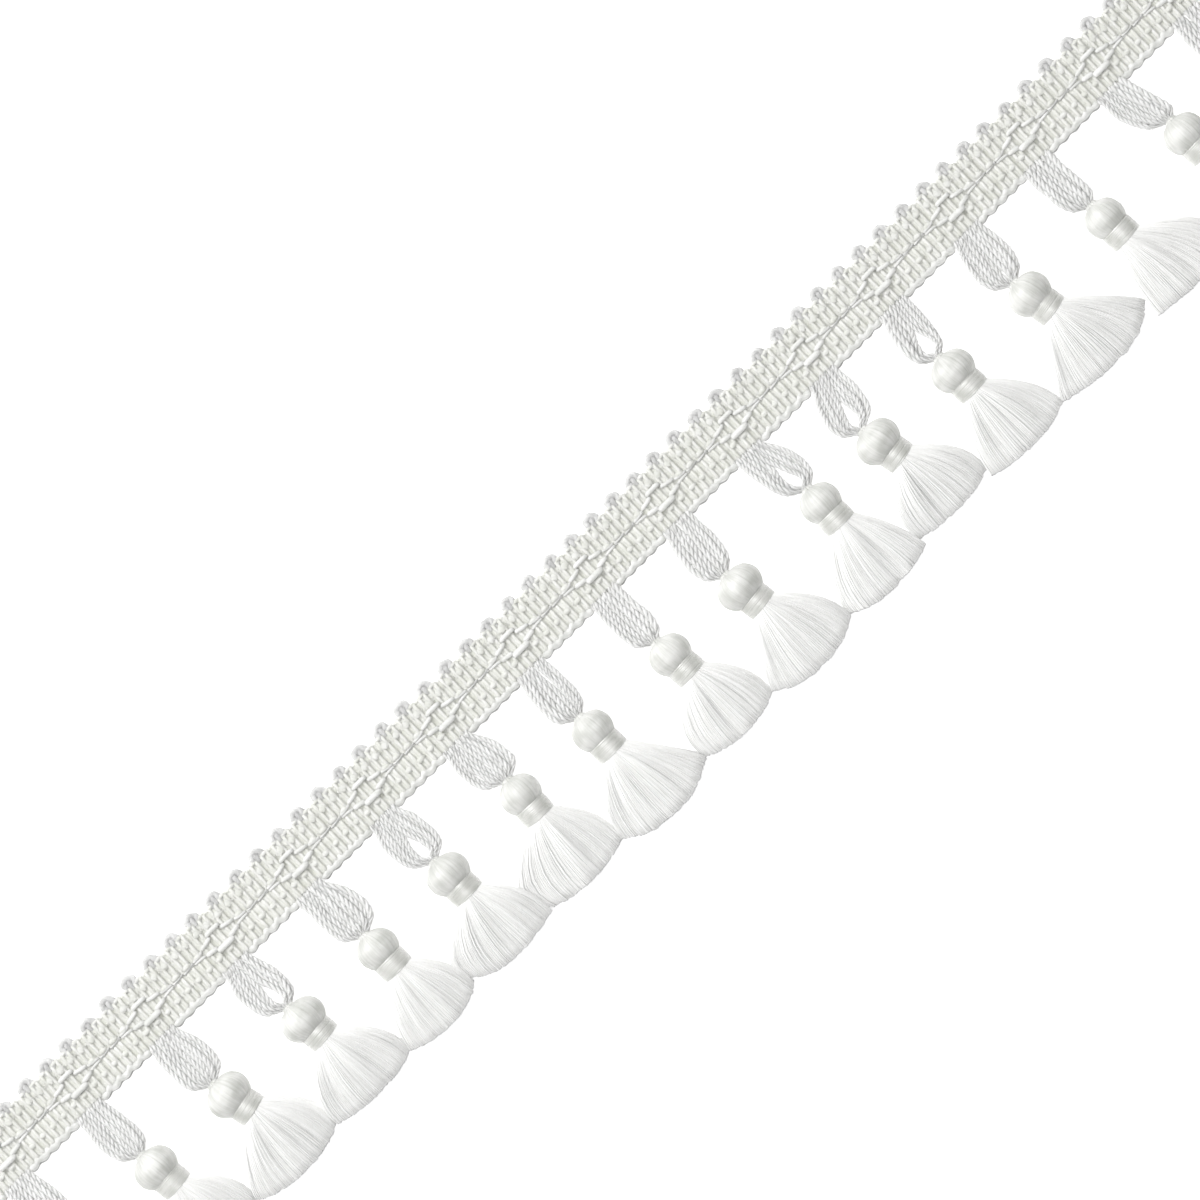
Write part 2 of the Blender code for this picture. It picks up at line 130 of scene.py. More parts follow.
# The seventeen hangings from left to right, each with its measures in the order above
HANGINGS = (
    Hanging(0.3, 4.6, 5.4, 0.0, 1.5, -24.6, 10.0, 2.0, -11.0, -45.2, 10.7, -45.4, -48.2, 0.9, 0.9),
    Hanging(0.0, 4.0, 5.1, 0.0, 1.7, -24.6, 10.2, 2.4, -11.2, -44.9, 11.9, -44.5, -48.2, 0.9, 0.9),
    Hanging(-0.1, 4.4, 6.2, 0.0, 1.6, -24.6, 10.6, 3.1, -10.0, -45.4, 13.4, -45.6, -48.4, -1.0, 1.5),
    Hanging(0.1, 5.0, 5.8, 1.8, 2.2, -24.4, 10.8, 2.9, -8.3, -46.2, 13.5, -45.6, -47.7, 0.6, 0.9),
    Hanging(0.5, 4.1, 7.1, 0.0, 2.0, -25.1, 9.5, 2.1, -8.4, -46.0, 11.3, -45.1, -48.2, -0.4, 0.5),
    Hanging(0.4, 4.8, 6.3, 2.4, 1.8, -24.4, 10.2, 2.0, -10.6, -43.6, 11.6, -46.4, -47.7, 2.4, 0.9),
    Hanging(0.7, 4.5, 6.9, 0.0, 2.7, -23.3, 9.5, 2.4, -10.3, -44.9, 11.5, -45.8, -47.7, 4.0, 0.9),
    Hanging(1.0, 5.1, 4.2, 0.0, 1.1, -24.6, 9.5, 1.2, -10.4, -46.2, 14.4, -45.8, -50.1, 0.1, -1.9),
    Hanging(1.2, 4.3, 4.3, 0.0, 2.2, -24.8, 9.7, 2.7, -7.5, -46.0, 12.0, -46.4, -48.6, 1.4, 0.9),
    Hanging(0.9, 5.4, 4.3, 0.0, 0.8, -25.1, 11.0, 1.7, -9.7, -46.2, 13.2, -46.9, -50.1, -1.5, 0.5),
    Hanging(0.8, 3.4, 6.7, 2.4, 3.7, -24.6, 9.3, 3.6, -8.5, -46.0, 13.1, -47.5, -49.2, 0.0, -0.2),
    Hanging(0.7, 6.5, 4.3, 2.2, -0.6, -24.0, 10.8, 0.7, -8.6, -45.4, 11.9, -44.9, -46.9, 1.3, 0.9),
    Hanging(0.0, 5.6, 3.7, 3.0, -0.6, -24.6, 10.2, -0.3, -10.0, -47.1, 11.4, -46.4, -48.6, 0.0, 0.1),
    Hanging(0.3, 5.8, 4.5, 0.0, 0.4, -24.6, 10.2, 1.7, -10.5, -46.4, 17.2, -43.6, -48.6, -1.8, -2.0),
    Hanging(-0.4, 4.3, 3.9, 0.0, 1.3, -24.6, 9.1, 1.7, -4.7, -48.2, 17.1, -44.5, -49.0, 0.1, 0.3),
    Hanging(-0.1, 3.4, 5.4, 0.0, 4.0, -23.8, 9.7, 4.3, -4.8, -45.4, 16.3, -45.4, -48.2, 0.9, 0.9),
    Hanging(0.3, 4.6, 5.4, 0.0, 1.5, -24.6, 10.0, 2.0, -5.6, -46.4, 11.5, -45.6, -48.4, 0.9, 0.9),
)


def place_x(index: int) -> float:
    """Gives the x of a tassel's place in the even row.

    Args:
        index: number of the hanging, from 0 at the left end.

    Returns:
        The x in metres.
    """
    return (index - (len(HANGINGS) - 1) / 2) * TASSEL_PITCH


def mix(a: np.ndarray | float, b: np.ndarray | float, share: np.ndarray | float) -> np.ndarray | float:
    """Blends two values or arrays.

    Args:
        a: value at share 0.
        b: value at share 1.
        share: how far to go from a to b.

    Returns:
        The blended value.
    """
    return a + (b - a) * share


def ease(share: np.ndarray | float) -> np.ndarray:
    """Eases a share at both ends and keeps it between 0 and 1.

    Args:
        share: any number or array.

    Returns:
        The eased share.
    """
    share = np.clip(share, 0.0, 1.0)
    return share * share * (3.0 - 2.0 * share)


def curve_through(controls: np.ndarray, steps: int) -> np.ndarray:
    """Draws smooth curves through control points.

    Args:
        controls: points in the shape (curves, points, values).
        steps: stations between two control points.

    Returns:
        The stations of each curve, in the shape (curves, stations, values).
    """
    first = 2.0 * controls[:, :1] - controls[:, 1:2]
    last = 2.0 * controls[:, -1:] - controls[:, -2:-1]
    held = np.concatenate((first, controls, last), axis=1)
    a, b, c, d = held[:, :-3], held[:, 1:-2], held[:, 2:-1], held[:, 3:]
    share = np.arange(steps)[None, None, :, None] / steps
    a, b, c, d = (part[:, :, None, :] for part in (a, b, c, d))
    bend = (2.0 * a - 5.0 * b + 4.0 * c - d) * share**2 + (3.0 * b - a - 3.0 * c + d) * share**3
    spans = b + 0.5 * ((c - a) * share + bend)
    stations = spans.reshape(controls.shape[0], -1, controls.shape[2])
    return np.concatenate((stations, controls[:, -1:]), axis=1)


def directions(paths: np.ndarray) -> tuple[np.ndarray, np.ndarray]:
    """Works out the directions across each path.

    Args:
        paths: points in the shape (paths, stations, 3).

    Returns:
        The level direction to the path's side and the one square to it, in the shape of paths.
    """
    ahead = np.gradient(paths, axis=1)
    ahead /= np.linalg.norm(ahead, axis=2, keepdims=True)
    side = np.cross(UP, ahead)
    side /= np.linalg.norm(side, axis=2, keepdims=True)
    return side, np.cross(ahead, side)


def run_along(paths: np.ndarray) -> np.ndarray:
    """Measures how far along its path each station is.

    Args:
        paths: points in the shape (paths, stations, 3).

    Returns:
        Distances in the shape (paths, stations).
    """
    steps = np.linalg.norm(np.diff(paths, axis=1), axis=2)
    return np.concatenate((np.zeros((len(paths), 1)), np.cumsum(steps, axis=1)), axis=1)


class YarnMesh:
    """Gathers swept yarns and turned forms and makes one object of them, with UVs in millimetres of yarn."""

    def __init__(self, seed: int) -> None:
        """Starts an empty mesh.

        Args:
            seed: seed of its own random numbers.
        """
        self.random = np.random.default_rng(seed)
        self.points: list[np.ndarray] = []
        self.faces: list[np.ndarray] = []
        self.uvs: list[np.ndarray] = []
        self.ends: list[np.ndarray] = []
        self.total = 0

    def add_rings(self, rings: np.ndarray, along: np.ndarray, girth: np.ndarray, cut: bool = False) -> None:
        """Skins closed rings of points, one form for each row of rings, and closes its ends.

        Args:
            rings: points in the shape (forms, stations, sides, 3), anticlockwise about the way ahead.
            along: distance of each station along its form, in the shape (forms, stations).
            girth: length round each form, in the shape (forms,).
            cut: whether the last rings are cut ends.
        """
        rings = rings.copy()
        rings[..., 2] = np.maximum(rings[..., 2], REST)
        forms, stations, sides, _ = rings.shape
        index = np.arange(forms * stations * sides).reshape(forms, stations, sides) + self.total
        after = np.roll(index, -1, axis=2)
        quads = np.stack((index[:, :-1], after[:, :-1], after[:, 1:], index[:, 1:]), axis=-1)
        own = self.random.uniform(0.0, UV_SPREAD, (forms, 1, 1))
        u = np.broadcast_to(along[:, :, None] / MM, (forms, stations, sides + 1)) + own
        v = np.broadcast_to(np.arange(sides + 1) / sides * girth[:, None, None] / MM, u.shape) + own
        uv = np.stack((u, v), axis=-1)
        corners = np.stack((uv[:, :-1, :-1], uv[:, :-1, 1:], uv[:, 1:, 1:], uv[:, 1:, :-1]), axis=3)
        ends = np.zeros((forms, stations, sides))
        ends[:, -1] = float(cut)
        self.ends.append(ends.ravel())
        self.points.append(rings.reshape(-1, 3))
        self.faces.append(quads.reshape(-1, 4))
        self.uvs.append(corners.reshape(-1, 4, 2))
        for cap, station in ((index[:, 0, ::-1], 0), (index[:, -1], -1)):
            self.faces.append(cap)
            self.uvs.append(np.broadcast_to(uv[:, station, :1], (forms, sides, 2)))
        self.total += forms * stations * sides

    def add_yarns(
        self,
        paths: np.ndarray,
        radius: np.ndarray | float,
        sides: int,
        lobes: int = 0,
        depth: float = 0.0,
        lay: float = 1.0,
        flat: float = 1.0,
        twist: Twist = Twist.Z,
        cut: bool = False,
    ) -> None:
        """Sweeps a yarn along each path. A lobed section that turns along it stands for twisted plies.

        Args:
            paths: points in the shape (paths, stations, 3).
            radius: radius of the yarns, one number or one for each station.
            sides: corners of the section.
            lobes: plies that show in the section, 0 for a round one.
            depth: how far the lobes stand out, as a share of the radius.
            lay: length in which the plies turn once.
            flat: height of the section as a share of its width.
            twist: direction of the plies.
            cut: whether the yarns end in a cut that shows.
        """
        side, up = directions(paths)
        run = run_along(paths)
        radius = np.broadcast_to(np.asarray(radius, float), run.shape)
        angle = np.arange(sides) / sides * TURN - TURN / 4 - (TURN / 2 / sides if sides % 2 else 0.0)
        own = self.random.uniform(0.0, TURN, (len(paths), 1))
        turned = twist.value * TURN * run / lay + own
        reach = radius[:, :, None] * (1.0 + depth * np.cos(lobes * (angle - turned[:, :, None])))
        out = np.cos(angle)[:, None] * side[:, :, None] + flat * np.sin(angle)[:, None] * up[:, :, None]
        rings = paths[:, :, None] + reach[..., None] * out
        self.add_rings(rings, run, TURN * radius.mean(axis=1), cut)

    def add_cords(
        self,
        paths: np.ndarray,
        radius: np.ndarray | float,
        plies: int,
        lay: float,
        packing: float,
        uneven: float,
    ) -> None:
        """Sweeps a cord of separate plies along each path.

        Args:
            paths: points in the shape (paths, stations, 3).
            radius: radius of the cords, one number or one for each station.
            plies: yarns in a cord.
            lay: length in which a ply turns once.
            packing: radius of a ply as a share of the cord's.
            uneven: how far the turn of the plies strays, in radians.
        """
        side, up = directions(paths)
        run = run_along(paths)
        radius = np.broadcast_to(np.asarray(radius, float), run.shape)
        knots = np.arange(0.0, run.max() + STRAY_RUN, STRAY_RUN)
        drift = [np.interp(line, knots, self.random.normal(0.0, uneven, len(knots))) for line in run]
        own = self.random.uniform(0.0, TURN, (len(paths), 1)) + np.array(drift)
        for ply in range(plies):
            turned = (TURN * run / lay + own + ply * TURN / plies)[..., None]
            off = ((1.0 - packing) * radius)[..., None]
            aside = off * (np.cos(turned) * side + np.sin(turned) * up)
            self.add_yarns(paths + aside, packing * radius, PLY_SIDES)

    def make(self, name: str, material: bpy.types.Material, crisp: float = CRISP) -> bpy.types.Object:
        """Makes the object of all that was gathered.

        Args:
            name: name of the piece.
            material: its finish.
            crisp: edges that turn more than this stay crisp.

        Returns:
            The new object.
        """
        points = np.concatenate(self.points)
        corners = np.concatenate([faces.ravel() for faces in self.faces])
        sizes = np.concatenate([np.full(len(faces), faces.shape[1]) for faces in self.faces])
        starts = np.concatenate(([0], np.cumsum(sizes)[:-1]))
        mesh = bpy.data.meshes.new(name)
        mesh.vertices.add(len(points))
        mesh.vertices.foreach_set("co", points.astype(np.float32).ravel())
        mesh.loops.add(len(corners))
        mesh.loops.foreach_set("vertex_index", corners.astype(np.int32))
        mesh.polygons.add(len(sizes))
        mesh.polygons.foreach_set("loop_start", starts.astype(np.int32))
        mesh.update(calc_edges=True)
        mesh.shade_smooth()
        mesh.set_sharp_from_angle(angle=crisp)
        uvs = np.concatenate([uv.reshape(-1, 2) for uv in self.uvs])
        mesh.uv_layers.new(name=YARN_UV).data.foreach_set("uv", uvs.astype(np.float32).ravel())
        ends = mesh.attributes.new(SHADED_CUT_END, "FLOAT", "POINT")
        ends.data.foreach_set("value", np.concatenate(self.ends).astype(np.float32))
        mesh.validate()
        mesh.materials.append(material)
        piece = bpy.data.objects.new(name, mesh)
        bpy.context.scene.collection.objects.link(piece)
        return piece


def fasten(piece: bpy.types.Object, slot: str, *nodes: str) -> bpy.types.Object:
    """Lets a piece ride on the trim and hides the CAD nodes that it stands for.

    Args:
        piece: the piece.
        slot: not used.
        nodes: names of the CAD nodes.

    Returns:
        The piece.
    """
    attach(piece, BODY)
    if nodes:
        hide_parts(*nodes)
    triangles = sum(len(face.vertices) - 2 for face in piece.data.polygons)
    LOG.info("%s: %d triangles", piece.name, triangles)
    return piece


def linear(code: str) -> tuple[float, float, float, float]:
    """Turns an sRGB hex colour to linear.

    Args:
        code: six hex digits after a hash.

    Returns:
        Red, green, blue and an alpha of 1.
    """
    parts = [int(code[i : i + 2], 16) / 255 for i in (1, 3, 5)]
    red, green, blue = (p / 12.92 if p <= 0.04045 else ((p + 0.055) / 1.055) ** 2.4 for p in parts)
    return (red, green, blue, 1.0)


def add_node(
    tree: bpy.types.NodeTree,
    kind: str,
    settings: dict[str, object] | None = None,
    values: dict[str | int, object] | None = None,
    links: dict[str | int, bpy.types.NodeSocket] | None = None,
) -> bpy.types.Node:
    """Adds a node with its settings, its sockets' values and its links.

    Args:
        tree: the material's node tree.
        kind: Blender's name for the kind of node.
        settings: the node's own settings by name.
        values: values of input sockets by name or number.
        links: output sockets to link to input sockets, by their name or number.

    Returns:
        The new node.
    """
    node = tree.nodes.new(kind)
    for key, value in (settings or {}).items():
        setattr(node, key, value)
    for key, value in (values or {}).items():
        node.inputs[key].default_value = value
    for key, source in (links or {}).items():
        tree.links.new(source, node.inputs[key])
    return node


@dataclass(frozen=True)
class YarnFinish:
    """A yarn's finish: filaments that run along it, and soft unevenness in its tone."""

    name: str
    light: str  # sRGB colour of its crests
    shade: str  # and of its darker fibres
    roughness: float
    sheen: float
    filament: float  # width of a filament, in millimetres: a real one, of 0.02, wouldn't show
    filament_run: float  # length over which a filament changes, in millimetres
    relief: float  # height of the filaments, in millimetres
    lean: float  # turn of the filaments from the yarn's way, in radians
    scatter: float = 0.5  # how much light passes through the fibres
    gloss: float = 0.5  # 0.5 is one bare surface; lustrous bundles mirror light from each fibre's back too
    ior: float = 1.53  # cellulose, as in rayon and cotton
    cut: str = "#5E5E5C"  # cut ends, painted dark: painted shade along the hem

    def make(self) -> bpy.types.Material:
        """Makes the material.

        Returns:
            The new material.
        """
        material = bpy.data.materials.new(self.name)
        material.use_nodes = True
        tree = material.node_tree
        tree.nodes.clear()
        yarn = add_node(tree, "ShaderNodeUVMap", {"uv_map": YARN_UV})
        lines = add_node(
            tree,
            "ShaderNodeMapping",
            {"vector_type": "TEXTURE"},
            {"Rotation": (0.0, 0.0, self.lean), "Scale": (self.filament_run, self.filament, 1.0)},
            {"Vector": yarn.outputs["UV"]},
        )
        filaments = add_node(
            tree,
            "ShaderNodeTexNoise",
            {"noise_dimensions": "2D"},
            {"Scale": 1.0, "Detail": 3.0, "Roughness": 0.7},
            {"Vector": lines.outputs["Vector"]},
        )
        patches = add_node(
            tree,
            "ShaderNodeTexNoise",
            {"noise_dimensions": "2D"},
            {"Scale": 0.35, "Detail": 1.0},
            {"Vector": yarn.outputs["UV"]},
        )
        both = add_node(
            tree,
            "ShaderNodeMath",
            {"operation": "ADD"},
            links={0: filaments.outputs["Fac"], 1: patches.outputs["Fac"]},
        )
        share = add_node(
            tree,
            "ShaderNodeMapRange",
            values={"From Min": 0.75, "From Max": 1.25},
            links={"Value": both.outputs["Value"]},
        )
        tone = add_node(
            tree,
            "ShaderNodeMix",
            {"data_type": "RGBA"},
            {6: linear(self.shade), 7: linear(self.light)},
            {0: share.outputs["Result"]},
        )
        # Cut ends are painted in the dark cut colour: painted shade
        ends = add_node(tree, "ShaderNodeAttribute", {"attribute_name": SHADED_CUT_END})
        colour = add_node(
            tree,
            "ShaderNodeMix",
            {"data_type": "RGBA"},
            {7: linear(self.cut)},
            {0: ends.outputs["Fac"], 6: tone.outputs[2]},
        )
        bump = add_node(
            tree,
            "ShaderNodeBump",
            values={"Strength": 1.0, "Distance": self.relief * MM},
            links={"Height": filaments.outputs["Fac"]},
        )
        shader = add_node(
            tree,
            "ShaderNodeBsdfPrincipled",
            values={
                "Roughness": self.roughness,
                "IOR": self.ior,
                "Specular IOR Level": self.gloss,
                "Metallic": 0.0,
                "Sheen Weight": self.sheen,
                "Sheen Roughness": 0.4,
                "Subsurface Weight": self.scatter,
                "Subsurface Radius": (1.0, 1.0, 1.0),
                "Subsurface Scale": 1.0 * MM,
            },
            links={"Base Color": colour.outputs[2], "Normal": bump.outputs["Normal"]},
        )
        add_node(tree, "ShaderNodeOutputMaterial", links={"Surface": shader.outputs["BSDF"]})
        return material


# Spun viscose, woven tight: a matt yarn with a faint green cast, whose fibres catch little light
GIMP_YARN = YarnFinish(
    name="Spun viscose gimp yarn, woven",
    light="#F0F0EC",
    shade="#E1E2DA",
    roughness=0.6,
    sheen=0.05,
    filament=0.22,
    filament_run=1.6,
    relief=0.14,
    lean=0.7,
    scatter=0.4,
)
# The same yarn plied hard for the centre cords and the scalloped edge: whiter crests, and a turn that shows
PLIED_YARN = YarnFinish(
    name="Plied viscose yarn, twisted",
    light="#F0F0EE",
    shade="#DEDFDB",
    roughness=0.5,
    sheen=0.05,
    filament=0.22,
    filament_run=2.0,
    relief=0.12,
    lean=0.7,
    scatter=0.4,
)
# The same yarn again for the picots, painted darker: painted shade, so that they stand out soft and grey. No
# sheen, so they show no light edge
SHADED_PICOT_YARN = YarnFinish(
    name="Plied viscose yarn, painted darker",
    light="#E4E4E3",
    shade="#CBCBCA",
    roughness=0.65,
    sheen=0.0,
    filament=0.22,
    filament_run=2.0,
    relief=0.16,
    lean=0.7,
    scatter=0.3,
)
# A grey cord laid below the edge cord, dull and greyer: painted shadow, a dark line where the edge cord's
# underside lies in shade
SHADOW_CORD_YARN = YarnFinish(
    name="Grey cord, painted shadow",
    light="#BEBEBD",
    shade="#ABABA9",
    roughness=0.8,
    sheen=0.3,
    filament=0.3,
    filament_run=1.5,
    relief=0.1,
    lean=0.6,
    scatter=0.3,
)
# Plied rayon cord: soft plies with a silky line of light along each
LOOP_CORD = YarnFinish(
    name="Plied rayon cord, twisted",
    light="#EDEDEC",
    shade="#DADAD8",
    roughness=0.42,
    sheen=0.05,
    filament=0.2,
    filament_run=3.0,
    relief=0.1,
    lean=0.4,
    scatter=0.6,
)
# Rayon floss, laid straight: bright and lustrous, with long fine lines along it
FLOSS = YarnFinish(
    name="Rayon floss, laid lengthwise",
    light="#E3E3E0",
    shade="#CBCCC7",
    roughness=0.43,
    sheen=0.05,
    filament=0.35,
    filament_run=14.0,
    relief=0.08,
    lean=0.0,
    scatter=0.5,
    gloss=0.65,
)
# The same floss cut and brushed out, painted lighter than the ball's to near white: painted light for the
# light that passes on from fibre to fibre
LIGHTENED_FLOSS = YarnFinish(
    name="Rayon floss, cut and brushed, painted lighter",
    light="#FEFEFD",
    shade="#F5F5F3",
    roughness=0.45,
    sheen=0.15,
    filament=0.3,
    filament_run=12.0,
    relief=0.03,
    lean=0.0,
    scatter=0.0,
)
# Filament rayon thread, wound tight: it runs round the neck, so its gloss stands across it. The IOR is over
# rayon's, because each turn sends light back from several surfaces.
WOUND_THREAD = YarnFinish(
    name="Filament rayon thread, wound",
    light="#D6D6D2",
    shade="#C1C2BC",
    roughness=0.38,
    sheen=0.05,
    filament=0.3,
    filament_run=5.0,
    relief=0.04,
    lean=TURN / 4,
    scatter=0.3,
    gloss=1.0,
    ior=1.75,
)


@dataclass(frozen=True)
class BarRow:
    """A row of bars in which the weft turns back across each rib."""

    y: float
    half: float  # half width of a bar
    flat: float  # its height as a share of its width
    rise: float  # of its top over the tops of the weft yarns
    nearest: int = 0  # rib, counted from a lozenge's middle, from which it is there


@dataclass
class Heading:
    """The woven heading: rows of weft loops on a ground, two centre cords, picots and a scalloped edge."""

    ribs: int = 120
    top: float = 6.7 * MM
    bottom: float = -6.5 * MM
    ground_thickness: float = 1.35 * MM
    ground_back: float = 0.42 * MM  # height of the ground's underside
    ground_steps: int = 4  # stations to a rib
    ground_rows: int = 16  # lines along the ground, a ridge and a groove in turn
    ground_ridge: float = 0.06 * MM
    ground_dip: float = 0.17 * MM  # how much the ground dips between ribs
    back_yarn: float = 0.62 * MM  # half width of the weft on the back
    end_yarn: float = 0.6 * MM  # radius of the yarn that closes each end
    end_inset: float = 0.62 * MM  # of its middle from the trim's end and from the surface
    weft_stray: tuple[float, ...] = (0.04 * MM, 0.07 * MM, 0.02 * MM)  # of a loop, along, across and up
    leg: float = 0.47 * MM  # radius of the weft yarn
    leg_aside: float = 0.77 * MM  # of a leg's middle from the rib's
    crest: float = 1.62 * MM  # height of the yarn's middle on the ribs
    sunk: float = 0.8 * MM  # and where it passes under another
    bar_rows: tuple[BarRow, ...] = (
        BarRow(4.35 * MM, 0.9 * MM, 0.46, 0.02 * MM),
        BarRow(1.0 * MM, 0.7 * MM, 0.64, 0.0, nearest=2),
        BarRow(-2.95 * MM, 0.7 * MM, 0.64, 0.05 * MM),
    )
    picot_reach: float = 8.2 * MM  # y of the top of a picot's yarn line
    picot_half: float = 1.22 * MM  # half width of a picot's yarn line
    picot_yarn: float = 0.8 * MM  # radius of the yarn twisted into a picot
    picot_filling: float = 0.68 * MM  # radius of the yarn within it
    picot_lay: float = 2.8 * MM
    top_cord: float = 0.5 * MM
    press_width: float = 0.7 * MM  # how wide and how deep a centre cord presses the weft
    press_depth: float = 0.4 * MM
    float_tilt: float = 0.16 * MM  # rise of a centre cord's float between two lozenges
    float_sag: float = 0.12 * MM  # how much lower a float's ends are than its middle
    dip_height: float = 1.15 * MM  # height of a centre cord where it dips between ribs
    edge_y: float = -6.02 * MM
    edge_scallop: float = 0.2 * MM
    edge_radius: float = 0.86 * MM
    edge_behind: float = 0.48 * MM  # its radius behind a loop
    behind_half: float = 4.4 * MM  # half width of a loop where the edge runs behind it
    # radius of the grey cord of painted shadow below the edge
    shadow_cord_radius: float = 0.45 * MM

    def __post_init__(self) -> None:
        """Reads the length from the frame."""
        low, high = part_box("heading")
        self.length = high.x - low.x

    def rib_middles(self) -> np.ndarray:
        """Gives the x of each rib's middle."""
        return (np.arange(self.ribs) + 0.5) * RIB_PITCH - self.length / 2

    def rib_wave(self, x: np.ndarray) -> np.ndarray:
        """Gives a wave that is 1 between ribs and -1 on them.

        Args:
            x: places along the trim.

        Returns:
            The wave at those places.
        """
        return np.cos(TURN * (x + self.length / 2) / RIB_PITCH)

    def drift(self, paths: np.ndarray) -> np.ndarray:
        """Moves the even weave along by the little that the hand-fed loops pulled it.

        Args:
            paths: points in any shape that ends in 3 values.

        Returns:
            The moved points.
        """
        places = [-self.length / 2, *(place_x(i) for i in range(len(HANGINGS))), self.length / 2]
        moved = paths.copy()
        moved[..., 0] += np.interp(paths[..., 0], places, [0.0, *(row.root * MM for row in HANGINGS), 0.0])
        return moved

    def from_lozenge(self) -> np.ndarray:
        """Counts each rib from the middle rib of the nearest lozenge."""
        apart = np.abs((np.arange(self.ribs) - self.ribs // 2) % RIBS_PER_TASSEL)
        return np.minimum(apart, RIBS_PER_TASSEL - apart)

    def build_ground(self) -> YarnMesh:
        """Builds the woven ground that shows between the ribs.

        Returns:
            The ground.
        """
        yarns = YarnMesh(Seed.GROUND)
        x = np.linspace(-self.length / 2, self.length / 2, self.ribs * self.ground_steps + 1)[1:-1]
        rows = self.ground_rows
        y = np.linspace(self.bottom + 0.95 * MM, self.top - 0.5 * MM, rows)
        rise = self.ground_ridge * np.cos(np.arange(rows) * math.pi)
        dip = self.ground_dip * np.cos(TURN * x / RIB_PITCH)
        top = self.ground_thickness + rise[None] - dip[:, None]
        upper = np.stack((*np.broadcast_arrays(x[:, None], y[None]), top), axis=-1)
        lower = upper[:, :: rows - 1].copy()
        lower[..., 2] = self.ground_back
        rings = self.drift(np.concatenate((lower[:, ::-1], upper), axis=1)[None, :, ::-1])
        yarns.add_rings(rings, (x - x[0])[None], np.array([2.0 * (y[-1] - y[0])]))
        return yarns

    def build_back_weft(self) -> YarnMesh:
        """Builds the weft on the back, two flat yarns to each rib, and the yarn that closes each end.

        Returns:
            The yarns.
        """
        yarns = YarnMesh(Seed.BACK_WEFT)
        line = (
            (self.bottom + 0.9 * MM, 0.6 * MM),
            (-5.0 * MM, 0.33 * MM),
            (-2.5 * MM, 0.36 * MM),
            (0.0, 0.33 * MM),
            (3.0 * MM, 0.36 * MM),
            (5.2 * MM, 0.33 * MM),
            (self.top - 0.7 * MM, 0.6 * MM),
        )
        for aside in (-self.leg_aside, self.leg_aside):
            template = np.array([(aside, y, z) for y, z in line])
            yarns.add_yarns(self.jittered(yarns, template, 1), self.back_yarn, 6, flat=0.5)
        count = 24
        y = np.linspace(self.bottom + 0.85 * MM, self.top - 0.45 * MM, count)
        for end in (-1, 1):
            x = end * (self.length / 2 - self.end_inset) + yarns.random.normal(0.0, 0.03 * MM, count)
            z = self.end_inset + yarns.random.normal(0.0, 0.02 * MM, count)
            yarns.add_yarns(np.stack((x, y, z), axis=1)[None], self.end_yarn, 10)
        return yarns

    def jittered(self, yarns: YarnMesh, template: np.ndarray, steps: int) -> np.ndarray:
        """Repeats a weft loop on every rib, each a little uneven.

        Args:
            yarns: mesh whose random numbers are used.
            template: control points of the loop about the rib's middle.
            steps: stations between two control points.

        Returns:
            The paths of all the loops.
        """
        loops = np.repeat(template[None], self.ribs, axis=0)
        loops[:, :, 0] += self.rib_middles()[:, None]
        for axis, stray in enumerate(self.weft_stray):
            loops[:, :, axis] += yarns.random.normal(0.0, stray, (self.ribs, 1))
        loops += yarns.random.normal(0.0, 0.02 * MM, loops.shape)
        return curve_through(self.drift(loops), steps)

    def build_picots(self) -> YarnMesh:
        """Builds the picots: a plied yarn that twists into a bead over every second gap of the upper edge.

        Returns:
            The picots and the yarn that fills them.
        """
        yarns = YarnMesh(Seed.PICOTS)
        shake = yarns.random.normal
        half = self.picot_half
        side = np.array(
            (
                (0.8 * half, 5.7 * MM, 0.75 * MM),
                (half, 6.4 * MM, 1.05 * MM),
                (1.03 * half, 7.1 * MM, 1.15 * MM),
                (0.8 * half, self.picot_reach - 0.42 * MM, 1.1 * MM),
            )
        )
        crown = np.array(((0.0, self.picot_reach, 1.2 * MM),))
        template = np.concatenate((side * (-1.0, 1.0, 1.0), crown, side[::-1]))
        gaps = self.rib_middles()[0:-1:2] + RIB_PITCH / 2
        picots = np.repeat(template[None], len(gaps), axis=0)
        picots[:, :, 0] *= 1.0 + shake(0.0, 0.06, (len(gaps), 1))
        grown = ease((template[:, 1] - 6.0 * MM) / (2.0 * MM))
        picots[:, :, :2] += shake(0.0, 0.13 * MM, (len(gaps), 1, 2)) * grown[None, :, None]
        picots[:, :, 0] += gaps[:, None]
        picots += shake(0.0, 0.03 * MM, picots.shape)
        paths = curve_through(self.drift(picots), 3)
        yarns.add_yarns(paths, self.picot_yarn, 12, lobes=2, depth=0.1, lay=self.picot_lay)
        filling = np.array(((-0.1, 5.9, 0.8), (0.0, 6.7, 1.15), (0.05, 7.4, 1.3), (0.1, 7.95, 1.15))) * MM
        inner = np.repeat(filling[None], len(gaps), axis=0)
        inner[:, :, 0] += gaps[:, None]
        paths = curve_through(self.drift(inner), 2)
        yarns.add_yarns(paths, self.picot_filling, 8, lobes=2, depth=0.1, lay=self.picot_lay)
        return yarns

